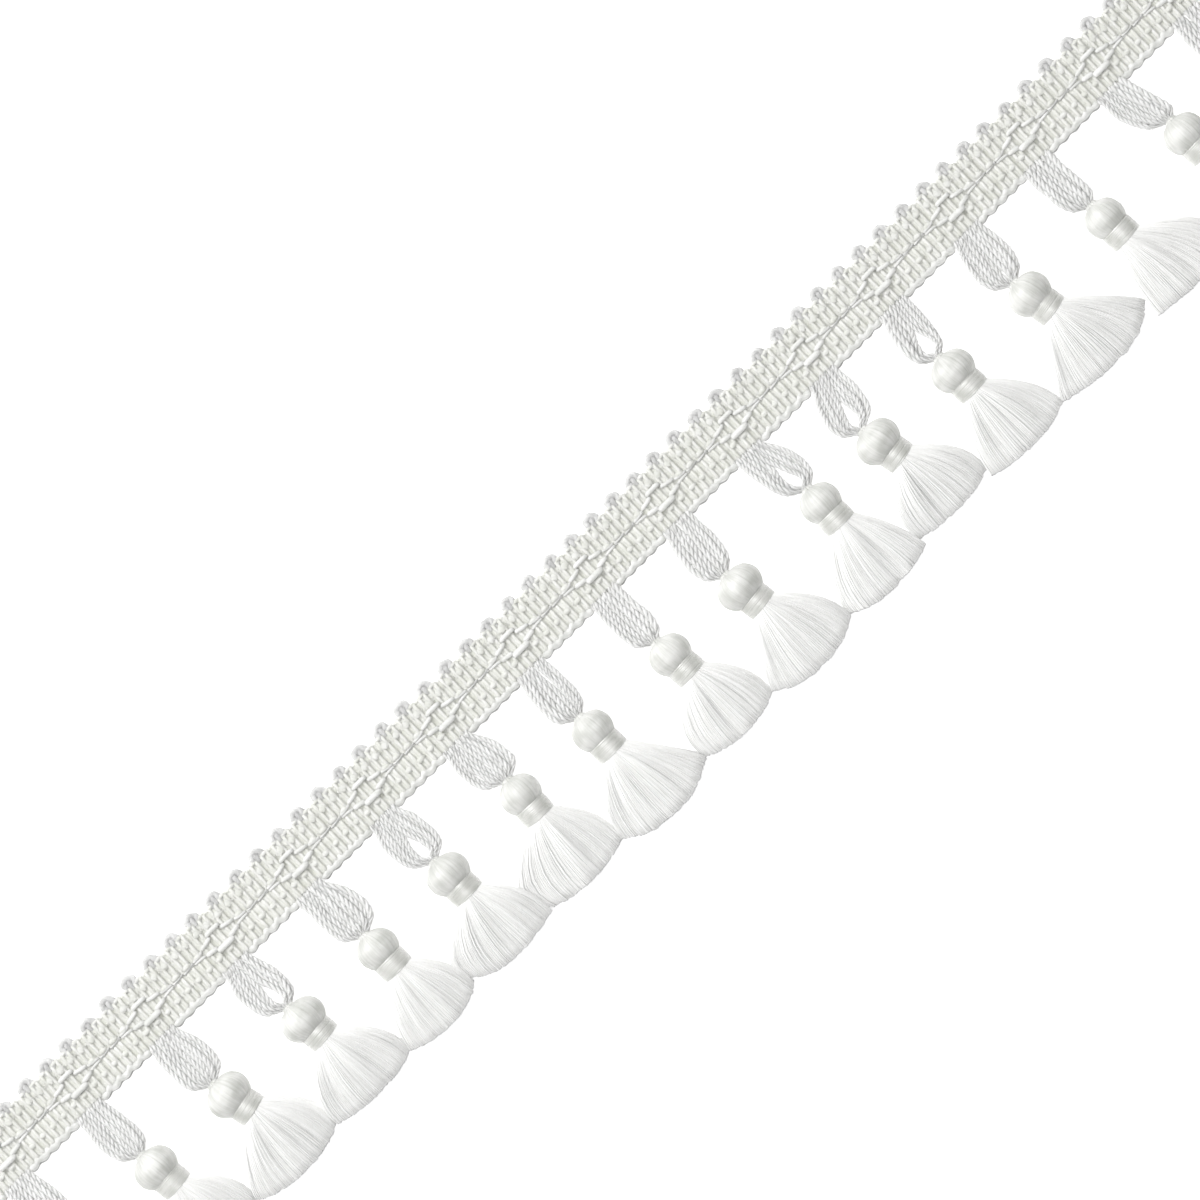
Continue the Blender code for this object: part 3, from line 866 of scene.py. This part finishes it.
    def build_legs(self) -> YarnMesh:
        """Builds the weft on the face, two yarns to each rib, pressed down where the centre cords cross it.

        Returns:
            The yarns.
        """
        yarns = YarnMesh(Seed.LEGS)
        line = (
            (6.6 * MM, self.sunk),
            (6.1 * MM, self.crest - 0.1 * MM),
            (5.1 * MM, self.crest),
            (4.15 * MM, self.crest - 0.08 * MM),
            (3.3 * MM, self.crest),
            (2.0 * MM, self.crest),
            (0.6 * MM, self.crest - 0.05 * MM),
            (-0.8 * MM, self.crest),
            (-2.0 * MM, self.crest),
            (-2.95 * MM, self.crest - 0.08 * MM),
            (-3.9 * MM, self.crest),
            (-4.8 * MM, self.crest),
            (-5.45 * MM, self.crest - 0.15 * MM),
            (-5.95 * MM, self.sunk),
        )
        for aside in (-self.leg_aside, self.leg_aside):
            template = np.array([(aside, y, z) for y, z in line])
            yarns.add_yarns(self.press(self.jittered(yarns, template, 2)), self.leg, 6)
        return yarns

    def build_bars(self) -> YarnMesh:
        """Builds the bars in which the weft turns back across each rib.

        Returns:
            The bars.
        """
        yarns = YarnMesh(Seed.BARS)
        for row in self.bar_rows:
            height = self.crest + self.leg + row.rise - row.half * row.flat
            half = np.array(
                (
                    (0.5 * self.leg_aside, row.y, height),
                    (0.84 * self.leg_aside, row.y + 0.06 * MM, height - 0.08 * MM),
                    (1.0 * self.leg_aside, row.y + 0.16 * MM, height - 0.36 * MM),
                    (1.0 * self.leg_aside, row.y + 0.2 * MM, self.sunk),
                )
            )
            template = np.concatenate((half[::-1] * (-1.0, 1.0, 1.0), half))
            paths = self.jittered(yarns, template, 2)[self.from_lozenge() >= row.nearest]
            yarns.add_yarns(paths, row.half, 6, flat=row.flat)
        return yarns

    def build_top_cord(self) -> YarnMesh:
        """Builds the thin cord that rounds off the top of each rib.

        Returns:
            The cord.
        """
        yarns = YarnMesh(Seed.TOP_CORD)
        x = np.arange(-self.length / 2, self.length / 2, 0.4 * MM)
        wave = self.rib_wave(x)
        path = np.stack((x, 6.35 * MM - 0.2 * MM * wave, 1.2 * MM - 0.4 * MM * wave), axis=1)
        yarns.add_yarns(self.drift(path)[None], self.top_cord, 6)
        return yarns

    def press(self, paths: np.ndarray) -> np.ndarray:
        """Presses the weft yarns down where the centre cords lie over them.

        Args:
            paths: the yarns' paths.

        Returns:
            The pressed paths.
        """
        pressed = paths.copy()
        for floats in self.centre_routes():
            cord_y = np.interp(paths[:, :, 0], floats[:, 0], floats[:, 1])
            apart = (paths[:, :, 1] - cord_y) / self.press_width
            pressed[:, :, 2] -= self.press_depth * np.exp(-(apart**2))
        return pressed

    def centre_routes(self) -> list[np.ndarray]:
        """Works out how the two centre cords step from rib to rib, parting into a lozenge at each tassel.

        Returns:
            For each cord, rows of x, y, height and radius.
        """
        apart = self.from_lozenge()
        middles = self.rib_middles()
        slope = np.array(LOZENGE_SLOPES)[apart]
        tilt = np.where(apart == RIBS_PER_TASSEL // 2, self.float_tilt, 0.0)
        routes = []
        tables = zip(LOZENGE_LEVELS, LOZENGE_RADII, LOZENGE_HEIGHTS, LOZENGE_HALVES)
        for levels, radii, heights, halves in tables:
            y = np.array(levels)[apart] * MM
            radius = np.array(radii)[apart] * MM
            after = 0.5 * (y + np.roll(y, -1))
            before = np.roll(after, 1)
            z = np.array(heights)[apart] * MM + 0.4 * radius
            half = np.array(halves)[apart] * RIB_PITCH
            dip = middles + 0.5 * (half + RIB_PITCH - np.roll(half, -1))
            rows = [
                (middles - half, mix(y, before, slope) - tilt, z - self.float_sag, 0.9 * radius),
                (middles, y, z, radius),
                (middles + half, mix(y, after, slope) + tilt, z - self.float_sag, 0.9 * radius),
                (dip, after, np.full_like(y, self.dip_height), 0.55 * radius),
            ]
            routes.append(np.stack([np.stack(row, axis=1) for row in rows], axis=1).reshape(-1, 4))
        return [np.column_stack((self.drift(route[:, :3]), route[:, 3])) for route in routes]

    def build_centre_cords(self) -> YarnMesh:
        """Builds the two centre cords: they float over each rib, dip between ribs and part into lozenges.

        Returns:
            The cords.
        """
        yarns = YarnMesh(Seed.CENTRE_CORDS)
        for route in self.centre_routes():
            line = curve_through(route[None], 3)
            yarns.add_yarns(line[..., :3], line[..., 3], 6, flat=0.8)
        return yarns

    def edge_route(self) -> tuple[np.ndarray, np.ndarray]:
        """Works out the scalloped line of the lower edge.

        Returns:
            The points of the line on the surface, and where it runs behind a loop, from 0 to 1.
        """
        x = np.arange(-self.length / 2, self.length / 2, 0.34 * MM)
        places = np.array([place_x(i) for i in range(len(HANGINGS))])
        behind = ease((self.behind_half - np.abs(x[:, None] - places).min(axis=1)) / (0.9 * MM))
        wave = self.rib_wave(x)
        y = self.edge_y + self.edge_scallop * wave + 0.3 * MM * behind
        return self.drift(np.stack((x, y, 0.06 * MM * wave), axis=1)), behind

    def build_edge_cord(self) -> YarnMesh:
        """Builds the thick twisted cord that scallops the lower edge and runs on behind the loops.

        Returns:
            The cord.
        """
        yarns = YarnMesh(Seed.EDGE_CORD)
        path, behind = self.edge_route()
        path[:, 2] += mix(0.98 * MM, 0.5 * MM, behind)
        radius = mix(self.edge_radius, self.edge_behind, behind)
        yarns.add_yarns(path[None], radius[None], 12, lobes=2, depth=0.12, lay=2 * RIB_PITCH, twist=Twist.S)
        return yarns

    def build_edge_shadow(self) -> YarnMesh:
        """Builds the grey cord, painted shadow, that shows as a dark line below the edge cord.

        Returns:
            The cord.
        """
        yarns = YarnMesh(Seed.EDGE_SHADOW)
        path, behind = self.edge_route()
        path[:, 1] -= mix(0.74 * MM, 0.1 * MM, behind)
        path[:, 2] += 0.36 * MM
        yarns.add_yarns(path[None], self.shadow_cord_radius, 6, flat=0.65)
        return yarns

    def dress(self) -> None:
        """Makes the heading's pieces."""
        gimp, plied, picot, core = (yarn.make() for yarn in (GIMP_YARN, PLIED_YARN, SHADED_PICOT_YARN, SHADOW_CORD_YARN))
        ground = fasten(self.build_ground().make("heading_ground", gimp), "heading_yarn", "heading")
        others = [
            fasten(yarns.make(name, material), "heading_yarn")
            for name, yarns, material in (
                # picot is the picots' yarn, painted darker as shade
                ("heading_picots", self.build_picots(), picot),
                ("heading_weft_legs", self.build_legs(), gimp),
                ("heading_weft_bars", self.build_bars(), gimp),
                ("heading_back_weft", self.build_back_weft(), gimp),
                ("heading_top_cord", self.build_top_cord(), gimp),
                ("heading_centre_cords", self.build_centre_cords(), plied),
                ("heading_edge_cord", self.build_edge_cord(), plied),
                # core is the grey cord of painted shadow below the edge cord
                ("heading_edge_shadow", self.build_edge_shadow(), core),
            )
        ]


@dataclass
class TasselAxis:
    """Where one hanging lies: its place in the even row, its ball's middle and the way that it points."""

    index: int
    ball_half: float = 3.6 * MM  # half of the ball's length
    neck_end: float = 7.3 * MM  # from the ball's middle

    def __post_init__(self) -> None:
        """Works out the axis from the hanging's measures."""
        row = HANGINGS[self.index]
        self.row = row
        self.place = place_x(self.index)
        height = 0.5 * row.girth * MM * BALL_FLAT
        self.ball = np.array((self.place + row.ball * MM, row.ball_y * MM, height))
        lean = math.asin((row.neck - row.ball) * MM / self.neck_end)
        self.down = np.array((math.sin(lean), -math.cos(lean), 0.0))
        self.right = np.array((math.cos(lean), math.sin(lean), 0.0))

    def add_turned(self, yarns: YarnMesh, along: np.ndarray, radius: np.ndarray) -> None:
        """Adds a form turned about the axis.

        Args:
            yarns: mesh that takes it.
            along: distances down from the ball's middle.
            radius: radius at each distance and angle, in the shape (stations, sides).
        """
        angle = np.arange(radius.shape[1]) / radius.shape[1] * TURN - TURN / 4
        out = np.cos(angle)[:, None] * self.right[None] + np.sin(angle)[:, None] * UP[None]
        rings = self.ball + along[:, None, None] * self.down + radius[..., None] * out[None]
        yarns.add_rings(rings[None], (along - along[0])[None], np.array([TURN * radius.mean()]))


@dataclass
class HangingPart:
    """One part of a hanging, laid along the hanging's axis."""

    axis: TasselAxis
    piece: ClassVar[str]  # name of its pieces, before their number
    node: ClassVar[str]  # and of the CAD nodes that they stand for
    slot: ClassVar[str]
    finish: ClassVar[YarnFinish]
    crisp: ClassVar[float] = CRISP

    def build(self) -> YarnMesh:
        """Builds the part's yarns."""
        raise NotImplementedError

    def dress(self, finishes: dict[YarnFinish, bpy.types.Material]) -> None:
        """Makes the part's piece.

        Args:
            finishes: the materials made for the hangings.
        """
        number = f"{self.axis.index + 1:02d}"
        piece = self.build().make(f"{self.piece}_{number}", finishes[self.finish], self.crisp)
        fasten(piece, self.slot, f"{self.node}_{number}")


@dataclass
class Loop(HangingPart):
    """The loop of a tassel: three to five thin twisted cords on each side, which meet at the ball."""

    piece = "loop_cords"
    node = "loop"
    slot = "loop_cord"
    finish = LOOP_CORD
    stations: int = 32
    start: float = -7.45 * MM  # y at which the loop's own line starts
    tucked: float = -4.9 * MM  # y of the cords' ends beneath the weft
    clear: float = -6.5 * MM  # y at which the cords are clear of the weft
    tucked_height: float = 0.6 * MM
    root_half: float = 4.0 * MM
    root_lift: float = 0.7 * MM
    throat_half: float = 1.6 * MM
    belly_at: float = 0.47  # share of the way down at which the loop is widest
    taper: float = 0.57  # share of the way over which it then closes
    cord: float = 0.66 * MM  # radius of a cord whose lay is cord_lay
    cord_lay: float = 3.8 * MM
    cord_place: float = 1.15 * MM  # width that a cord takes up
    fewest: int = 3  # cords on a side
    most: int = 5
    cord_least: float = 0.6 * MM  # least radius of a cord
    cord_most: float = 0.88 * MM
    plies: int = 3
    ply_share: float = 0.5  # radius of a ply as a share of its cord's
    ply_stray: float = 0.4  # how far the turn of the plies strays, in radians
    sway: float = 0.14 * MM  # how far a cord strays sideways
    overlap: float = 1.27  # widths of a side's cords together, as a share of the side's width
    gather_from: float = 0.84  # share of the way down at which the cords start to gather
    gather_over: float = 0.14
    gathered: float = 0.55  # share of its radius that a cord keeps there
    pressed: float = 0.5  # and beneath the weft
    eye_along: tuple[float, ...] = (0.4, 0.5, 0.62, 0.78, 0.88, 0.94)  # how far an eye opens on the way down
    eye_open: tuple[float, ...] = (0.0, 0.35, 0.8, 1.0, 0.85, 0.0)
    past_ball: float = 1.06  # share of the way at which the cords end, within the ball

    def reach(self, side: int, along: np.ndarray, axis_x: np.ndarray) -> np.ndarray:
        """Says how far the loop's outline stands from its middle line.

        Args:
            side: -1 for the left leg, 1 for the right.
            along: shares of the way from the heading to the ball.
            axis_x: x of the middle line at those shares.

        Returns:
            The distances.
        """
        row = self.axis.row
        middle_x = np.interp(self.belly_at, along, axis_x) - (self.axis.place + row.root * MM)
        belly = (row.left if side < 0 else row.right) * MM - side * middle_x
        swell = mix(self.root_half, belly, np.sin(0.5 * math.pi * np.clip(along / self.belly_at, 0.0, 1.0)))
        past = np.clip((along - self.belly_at) / self.taper, 0.0, 1.0)
        return np.where(along <= self.belly_at, swell, belly * np.sqrt(1.0 - past**3.2))

    def build(self) -> YarnMesh:
        """Builds the cords of both sides. Where they crowd, every second one lies on top of its neighbours.

        Returns:
            The cords.
        """
        axis, row = self.axis, self.axis.row
        yarns = YarnMesh(Seed.LOOP + axis.index)
        end = axis.ball - axis.down * (axis.ball_half + 0.6 * MM)
        tuck = (self.tucked - self.start) / (end[1] - self.start)
        along = np.linspace(tuck, self.past_ball, self.stations)
        held = np.clip(along, 0.0, 1.0)
        arch = np.sin(math.pi * held)
        axis_x = mix(axis.place + row.root * MM, end[0], along)
        y = mix(self.start, end[1], along)
        lift = mix(self.root_lift, axis.ball[2] - self.cord, held**0.85)
        under = ease((y - self.clear) / (self.tucked - self.clear))
        inner = 0.5 * row.eye * MM * np.interp(along, self.eye_along, self.eye_open)
        gather = ease((along - self.gather_from) / self.gather_over)
        for side in (-1, 1):
            outer = np.maximum(self.reach(side, along, axis_x), self.throat_half) * (1.0 - 0.2 * gather**2)
            wide = float((outer - inner).max())
            cords = min(max(round(wide / self.cord_place), self.fewest), self.most)
            full = min(max(self.overlap * wide / (2 * cords), self.cord_least), self.cord_most)
            radius = full * mix(1.0, self.gathered, gather) * mix(1.0, self.pressed, under)
            crowd = np.clip(1.0 - (outer - inner - 2.0 * radius) / (cords - 1) / (2.0 * radius), 0.0, 1.0)
            for number in range(cords):
                spread = mix(inner + 0.78 * radius, outer - radius, number / (cords - 1))
                layer = (0.0 if number % 2 else 0.6 + 0.2 * side) * ease(3.0 * crowd) * radius
                layer = layer * mix(0.4, 1.0, ease(along / 0.5))
                wobble = np.interp(along, np.linspace(0.0, 1.0, 6), yarns.random.normal(0.0, self.sway, 6))
                layer = layer + yarns.random.uniform(0.0, 0.6) * radius * arch
                if number == 0:
                    layer = layer - 0.7 * radius * arch
                x = axis_x + side * spread + wobble * (1.0 - gather)
                z = mix(radius + lift + layer, self.tucked_height, under)
                path = np.stack((x, y, np.maximum(z, radius + REST)), axis=1)
                lay = self.cord_lay * yarns.random.uniform(0.9, 1.1) * full / self.cord
                yarns.add_cords(path[None], radius[None], self.plies, lay, self.ply_share, self.ply_stray)
        return yarns


@dataclass
class Ball(HangingPart):
    """The ball and neck, covered in lengthwise floss that is gathered where the loop enters."""

    piece = "tassel_ball"
    node = "tassel"
    slot = "tassel_yarn"
    finish = FLOSS
    throat: float = 1.45 * MM  # radius where the loop enters the ball
    neck: float = 3.4 * MM
    sides: int = 120
    ridges: int = 40
    ridge: float = 0.08 * MM  # height of the ridges of floss
    folds: int = 13
    fold: float = 0.13 * MM  # height of the folds at the throat

    def build(self) -> YarnMesh:
        """Builds the ball and neck in one form.

        Returns:
            The form.
        """
        axis = self.axis
        yarns = YarnMesh(Seed.BALL + axis.index)
        girth = axis.row.girth / 2 * MM
        half = axis.ball_half
        profile = np.array(
            (
                (-1.2 * half, 0.15 * self.throat),
                (-1.17 * half, 0.62 * self.throat),
                (-1.09 * half, 0.94 * self.throat),
                (-1.01 * half, self.throat),
                (-0.95 * half, 0.44 * girth),
                (-0.84 * half, 0.61 * girth),
                (-0.65 * half, 0.79 * girth),
                (-0.3 * half, 0.945 * girth),
                (0.18 * half, girth),
                (0.5 * half, 0.945 * girth),
                (0.74 * half, 0.865 * girth),
                (0.88 * half, 0.795 * girth),
                (0.98 * half, 0.74 * girth),
                (1.12 * half, self.neck),
            )
        )
        line = curve_through(profile[None], 2)[0]
        along, radius = line[:, :1], line[:, 1:]
        angle = np.arange(self.sides) / self.sides * TURN
        run = np.linspace(0.0, 1.0, len(line))[:, None]
        sway = 0.12 * np.sin(TURN * 0.7 * run + 3.0 * angle) + 0.22 * run
        lobes = np.cos(self.ridges * (angle[None] + sway))
        uneven = 0.3 * np.cos(7.0 * angle + 2.0 * run) + 0.5 * np.cos(19.0 * angle[None] + 4.0 * run)
        relief = self.ridge * (lobes + uneven) * np.clip(radius / girth, 0.4, 1.0)
        gathered = ease((-0.9 * half - along) / (0.15 * half)) * np.clip(radius / self.throat, 0.0, 1.0)
        relief = relief + self.fold * np.cos(self.folds * angle + 5.0 * run) * gathered
        axis.add_turned(yarns, line[:, 0], radius + relief)
        return yarns


@dataclass
class Binding(HangingPart):
    """The thread wound round the neck in one spiral, whose turns stand out a little more in the middle."""

    piece = "wound_thread"
    node = "binding"
    slot = "binding_thread"
    finish = WOUND_THREAD
    first: float = 3.25 * MM  # from the ball's middle
    last: float = 7.1 * MM
    radius: float = 3.74 * MM
    pitch: float = 0.42 * MM
    swell: float = 0.14 * MM
    thread: float = 0.07 * MM  # height of a turn over the groove beside it
    sides: int = 40
    stations: int = 5  # to a turn

    def build(self) -> YarnMesh:
        """Builds the wound thread in one form.

        Returns:
            The form.
        """
        yarns = YarnMesh(Seed.BINDING + self.axis.index)
        turns = (self.last - self.first) / self.pitch
        along = np.linspace(self.first, self.last, round(turns * self.stations) + 1)
        angle = np.arange(self.sides) / self.sides
        wound = np.abs(np.cos(math.pi * (along[:, None] / self.pitch + angle[None])))
        share = (along - self.first) / (self.last - self.first)
        barrel = self.swell * np.sin(math.pi * share)[:, None] ** 0.5
        uneven = yarns.random.normal(0.0, 0.02 * MM, len(along) // self.stations + 1)
        uneven = np.repeat(uneven, self.stations)[: len(along), None]
        self.axis.add_turned(yarns, along, self.radius + barrel + uneven + self.thread * wound)
        return yarns


@dataclass
class Skirt(HangingPart):
    """The skirt of cut floss, which fans out from the neck and settles on the surface."""

    piece = "tassel_skirt"
    node = "tassel"
    slot = "tassel_yarn"
    # The skirt's floss is painted lighter than the ball's: painted light
    finish = LIGHTENED_FLOSS
    crisp = math.radians(50.0)
    start: float = 6.9 * MM  # from the ball's middle
    collar: float = 3.75 * MM  # radius of the bundle where it leaves the thread
    thick_side: float = 1.9 * MM  # thickness of the fan at its sides, where it lies
    thick_middle: float = 3.2 * MM
    strands: int = 455
    strand_radius: float = 0.18 * MM
    strand_flat: float = 0.45
    strand_stations: tuple[float, ...] = (0.0, 0.18, 0.36, 0.54, 0.71, 0.87, 0.985, 1.0)
    locks: int = 26  # strands that cling together
    outside: float = 0.74  # share of the strands that lie on top
    outside_level: float = 0.93  # share of the skirt's thickness above which those lie
    core_ridges: int = 96
    core_stations: tuple[float, ...] = (0.0, 0.06, 0.15, 0.3, 0.5, 0.75, 0.95, 0.985)
    core_level: float = 0.91  # share of the skirt's thickness that the core fills
    core_length: float = 20.0 * MM  # along the core and round it, for its UVs
    core_girth: float = 40.0 * MM
    corner_out: float = 0.4  # how far the corners reach out past their place, in millimetres
    corner_over: float = 0.9  # how high every second skirt's sides lie over its neighbours, in millimetres
    flare: float = 1.9  # power of the curve by which the strands spread
    sink: float = 1.6  # and by which they sink to the surface
    hem_round: float = 2.6  # power of the hem's curve
    droop_from: float = 0.985  # share of the way down at which the cut ends turn down
    droop: float = 0.85  # share of their height that they lose there

    def __post_init__(self) -> None:
        """Draws the phases of the waves in which the fan billows."""
        random = np.random.default_rng(Seed.BILLOW + self.axis.index)
        self.phases = random.uniform(0.0, 1.0, 2)

    def build(self) -> YarnMesh:
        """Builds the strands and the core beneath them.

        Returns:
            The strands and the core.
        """
        yarns = YarnMesh(Seed.SKIRT + self.axis.index)
        draw = yarns.random.uniform
        count = self.strands
        place = (np.arange(count) + draw(0.0, 1.0, count)) / count
        outside = draw(0.0, 1.0, count) < self.outside
        level = np.where(outside, draw(self.outside_level, 1.0, count), draw(0.0, self.outside_level, count))
        self.add_strands(yarns, place, level)
        self.add_core(yarns)
        return yarns

    def fan(
        self, place: np.ndarray, level: np.ndarray, stations: np.ndarray, uneven: np.ndarray
    ) -> np.ndarray:
        """Works out where strands of the skirt run.

        Args:
            place: places along the hem, from 0 at its left corner to 1 at its right.
            level: shares of the skirt's thickness at which the strands lie.
            stations: shares of the way down.
            uneven: what each strand adds to its length.

        Returns:
            The paths in the shape (strands, stations, 3).
        """
        axis, row = self.axis, self.axis.row
        disk = np.linspace(-1.0, 1.0, 201)
        filled = 0.5 + (disk * np.sqrt(1.0 - disk**2) + np.arcsin(disk)) / math.pi
        aside = np.interp(place, filled, disk)
        chord = np.sqrt(np.clip(1.0 - aside**2, 0.0, 1.0))
        centre = axis.ball + axis.down * self.start
        rise = (2.0 * level - 1.0) * chord
        collar = centre + self.collar * (aside[:, None] * axis.right + rise[:, None] * UP)
        hem_x = axis.place + mix(row.left_x, row.right_x, place) * MM
        corner_y = mix(row.left_y, row.right_y, place) * MM
        across = 2.0 * place - 1.0
        hem_y = mix(corner_y, row.hem_y * MM, 1.0 - np.abs(across) ** self.hem_round) + uneven
        thick = mix(self.thick_side, self.thick_middle, 1.0 - across**2)
        hem_z = self.strand_radius + level * (thick - 2.0 * self.strand_radius)
        arch = np.sin(math.pi * stations)
        wing = np.where(across < 0.0, row.left_wing, row.right_wing)[:, None]
        belly = MM * across[:, None] ** 3 * (wing * arch + self.corner_out * stations)
        first, second = self.phases
        billow = 0.42 * np.sin(TURN * (1.7 * place + first)) + 0.26 * np.sin(TURN * (3.4 * place + second))
        flare = 1.0 - (1.0 - stations) ** self.flare
        x = mix(collar[:, :1], hem_x[:, None], flare[None]) + belly
        y = mix(collar[:, 1:2], hem_y[:, None], stations[None])
        ended = np.clip((stations - self.droop_from) / (1.0 - self.droop_from), 0.0, 1.0)
        z = mix(collar[:, 2:], hem_z[:, None], (stations**self.sink)[None]) * (1.0 - self.droop * ended)
        over = self.corner_over * (axis.index % 2) * np.abs(across) ** 3
        z = z + (billow * level + over)[:, None] * MM * arch
        return np.stack((x, y, z), axis=2)

    def add_strands(self, yarns: YarnMesh, place: np.ndarray, level: np.ndarray) -> None:
        """Adds the skirt's strands, in locks that cling together.

        Args:
            yarns: mesh that takes them.
            place: places along the hem.
            level: shares of the thickness.
        """
        shake = yarns.random.normal
        count, locks = len(place), self.locks
        stations = np.array(self.strand_stations)
        lock = np.minimum((place * locks).astype(int), locks - 1)
        middle = 1.0 - np.abs(2.0 * place - 1.0)
        cling = mix(place, (lock + 0.5) / locks, 0.1) + shake(0.0, 0.004, locks)[lock] * middle
        uneven = np.clip(shake(0.0, 0.09, count), -0.16, 0.16) * MM + shake(0.0, 0.1 * MM, locks)[lock]
        paths = self.fan(np.clip(cling, 0.0, 1.0), level, stations, uneven)
        grown = stations[None] ** 1.5
        paths[:, :, 0] += shake(0.0, 0.12 * MM, (count, 1)) * grown
        paths[:, :, 0] += shake(0.0, 0.02 * MM, paths.shape[:2]) * grown
        paths[:, :, 2] += (shake(0.0, 0.1 * MM, locks)[lock])[:, None] * np.sin(math.pi * stations)[None]
        paths[:, :, 2] = np.maximum(paths[:, :, 2], self.strand_radius + REST)
        taper = mix(0.75, 1.0, stations) * self.strand_radius
        # The cut ends are painted dark: painted shade along the hem
        yarns.add_yarns(paths, taper[None], 3, flat=self.strand_flat, cut=True)

    def add_core(self, yarns: YarnMesh) -> None:
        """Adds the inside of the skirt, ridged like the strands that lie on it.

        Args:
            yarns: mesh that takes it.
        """
        stations = np.array(self.core_stations)
        places = np.linspace(0.015, 0.985, self.core_ridges)
        none = np.zeros(len(places))
        ridge = 0.006 * np.cos(math.pi * np.arange(len(places)))
        ridge = ridge + yarns.random.normal(0.0, 0.004, len(places))
        upper = self.fan(places, self.core_level + ridge, stations, none)
        lower = self.fan(places[1::4], none[1::4] + 0.08, stations, none[1::4])
        rings = np.concatenate((lower, upper[::-1]), axis=0).transpose(1, 0, 2)
        run = np.linspace(0.0, self.core_length, len(stations))
        yarns.add_rings(rings[None], run[None], np.array([self.core_girth]))


@dataclass
class Studio:
    """A plain pale floor, soft light from the upper left and the photograph's camera, straight above."""

    field: float = 259.2 * MM  # width of the photograph at the trim
    centre_x: float = -0.11 * MM  # where the camera looks
    centre_y: float = -6.16 * MM
    plane: float = 2.0 * MM  # height at which the field is measured
    lens: float = 200.0  # focal length and sensor width in millimetres
    sensor: float = 36.0
    floor_size: float = 6.0  # metres
    sky_low: float = 0.275  # strength of the light all round, and of its brighter side
    sky_high: float = 0.68
    bright_side: tuple[float, float, float] = (-0.7, 0.5, 0.55)
    glow: float = 0.5  # of the floor
    key_place: tuple[float, float, float] = (-0.4, 0.95, 0.95)
    key_size: float = 0.8
    key_power: float = 11.5  # watts
    front_place: tuple[float, float, float] = (-0.12, 0.12, 1.5)
    front_size: float = 0.45
    front_power: float = 6.0

    def place_camera(self) -> None:
        """Places the camera above the trim, turned so that the trim runs from corner to corner."""
        data = bpy.data.cameras.new("camera")
        data.lens = self.lens
        data.sensor_width = self.sensor
        data.clip_start = 0.05
        data.clip_end = 20.0
        camera = bpy.data.objects.new("camera", data)
        bpy.context.scene.collection.objects.link(camera)
        right = Vector((1.0, -1.0, 0.0)).normalized()
        up = Vector((1.0, 1.0, 0.0)).normalized()
        turn = Matrix((right, up, Vector((0.0, 0.0, 1.0)))).transposed()
        distance = self.lens * self.field / self.sensor
        spot = Vector((self.centre_x, self.centre_y, self.plane + distance))
        camera.matrix_world = Matrix.Translation(spot) @ turn.to_4x4()
        bpy.context.scene.camera = camera

    def lay_floor(self) -> None:
        """Lays the floor."""
        half = self.floor_size / 2
        mesh = bpy.data.meshes.new("floor")
        corners = [(-half, -half, 0.0), (half, -half, 0.0), (half, half, 0.0), (-half, half, 0.0)]
        mesh.from_pydata(corners, [], [(0, 1, 2, 3)])
        floor = bpy.data.objects.new("floor", mesh)
        bpy.context.scene.collection.objects.link(floor)
        material = bpy.data.materials.new("Opal acrylic, lit from below")
        material.use_nodes = True
        shader = material.node_tree.nodes["Principled BSDF"]
        shader.inputs["Base Color"].default_value = linear("#FAFAFA")
        shader.inputs["Roughness"].default_value = 0.9
        shader.inputs["Specular IOR Level"].default_value = 0.0
        shader.inputs["Emission Color"].default_value = (1.0, 1.0, 1.0, 1.0)
        shader.inputs["Emission Strength"].default_value = self.glow
        mesh.materials.append(material)

    def add_light(self, name: str, place: Vector, size: float, power: float) -> None:
        """Adds a soft light that faces the trim.

        Args:
            name: name of the light.
            place: where it stands.
            size: width of the light.
            power: power in watts.
        """
        data = bpy.data.lights.new(name, "AREA")
        data.shape = "DISK"
        data.size = size
        data.energy = power
        light = bpy.data.objects.new(name, data)
        light.location = place
        light.rotation_mode = "QUATERNION"
        light.rotation_quaternion = (-place).to_track_quat("-Z", "Y")
        light.visible_camera = False
        bpy.context.scene.collection.objects.link(light)

    def light(self) -> None:
        """Sets the even light all round, the key light from the picots' side and a softbox in front."""
        world = bpy.data.worlds.new("studio")
        world.use_nodes = True
        tree = world.node_tree
        tree.nodes.clear()
        way = add_node(tree, "ShaderNodeTexCoord")
        towards = add_node(
            tree,
            "ShaderNodeVectorMath",
            {"operation": "DOT_PRODUCT"},
            {1: Vector(self.bright_side).normalized()},
            {0: way.outputs["Generated"]},
        )
        strength = add_node(
            tree,
            "ShaderNodeMapRange",
            {"interpolation_type": "SMOOTHSTEP"},
            {"From Min": -0.4, "From Max": 0.9, "To Min": self.sky_low, "To Max": self.sky_high},
            {"Value": towards.outputs["Value"]},
        )
        background = add_node(
            tree,
            "ShaderNodeBackground",
            values={"Color": (1.0, 1.0, 1.0, 1.0)},
            links={"Strength": strength.outputs["Result"]},
        )
        add_node(tree, "ShaderNodeOutputWorld", links={"Surface": background.outputs["Background"]})
        bpy.context.scene.world = world
        self.add_light("key", Vector(self.key_place), self.key_size, self.key_power)
        self.add_light("front", Vector(self.front_place), self.front_size, self.front_power)
        bpy.context.scene.view_settings.view_transform = "Standard"

    def build(self) -> None:
        """Builds the whole studio."""
        self.place_camera()
        self.lay_floor()
        self.light()


def main() -> None:
    """Builds the studio, the heading and the hangings in order."""
    logging.basicConfig(level=logging.INFO, format="%(name)s %(message)s")
    Studio().build()
    Heading().dress()
    parts = (Loop, Ball, Skirt, Binding)
    finishes = {part.finish: part.finish.make() for part in parts}
    for index in range(len(HANGINGS)):
        axis = TasselAxis(index)
        for part in parts:
            part(axis).dress(finishes)


if __name__ == "__main__":
    main()
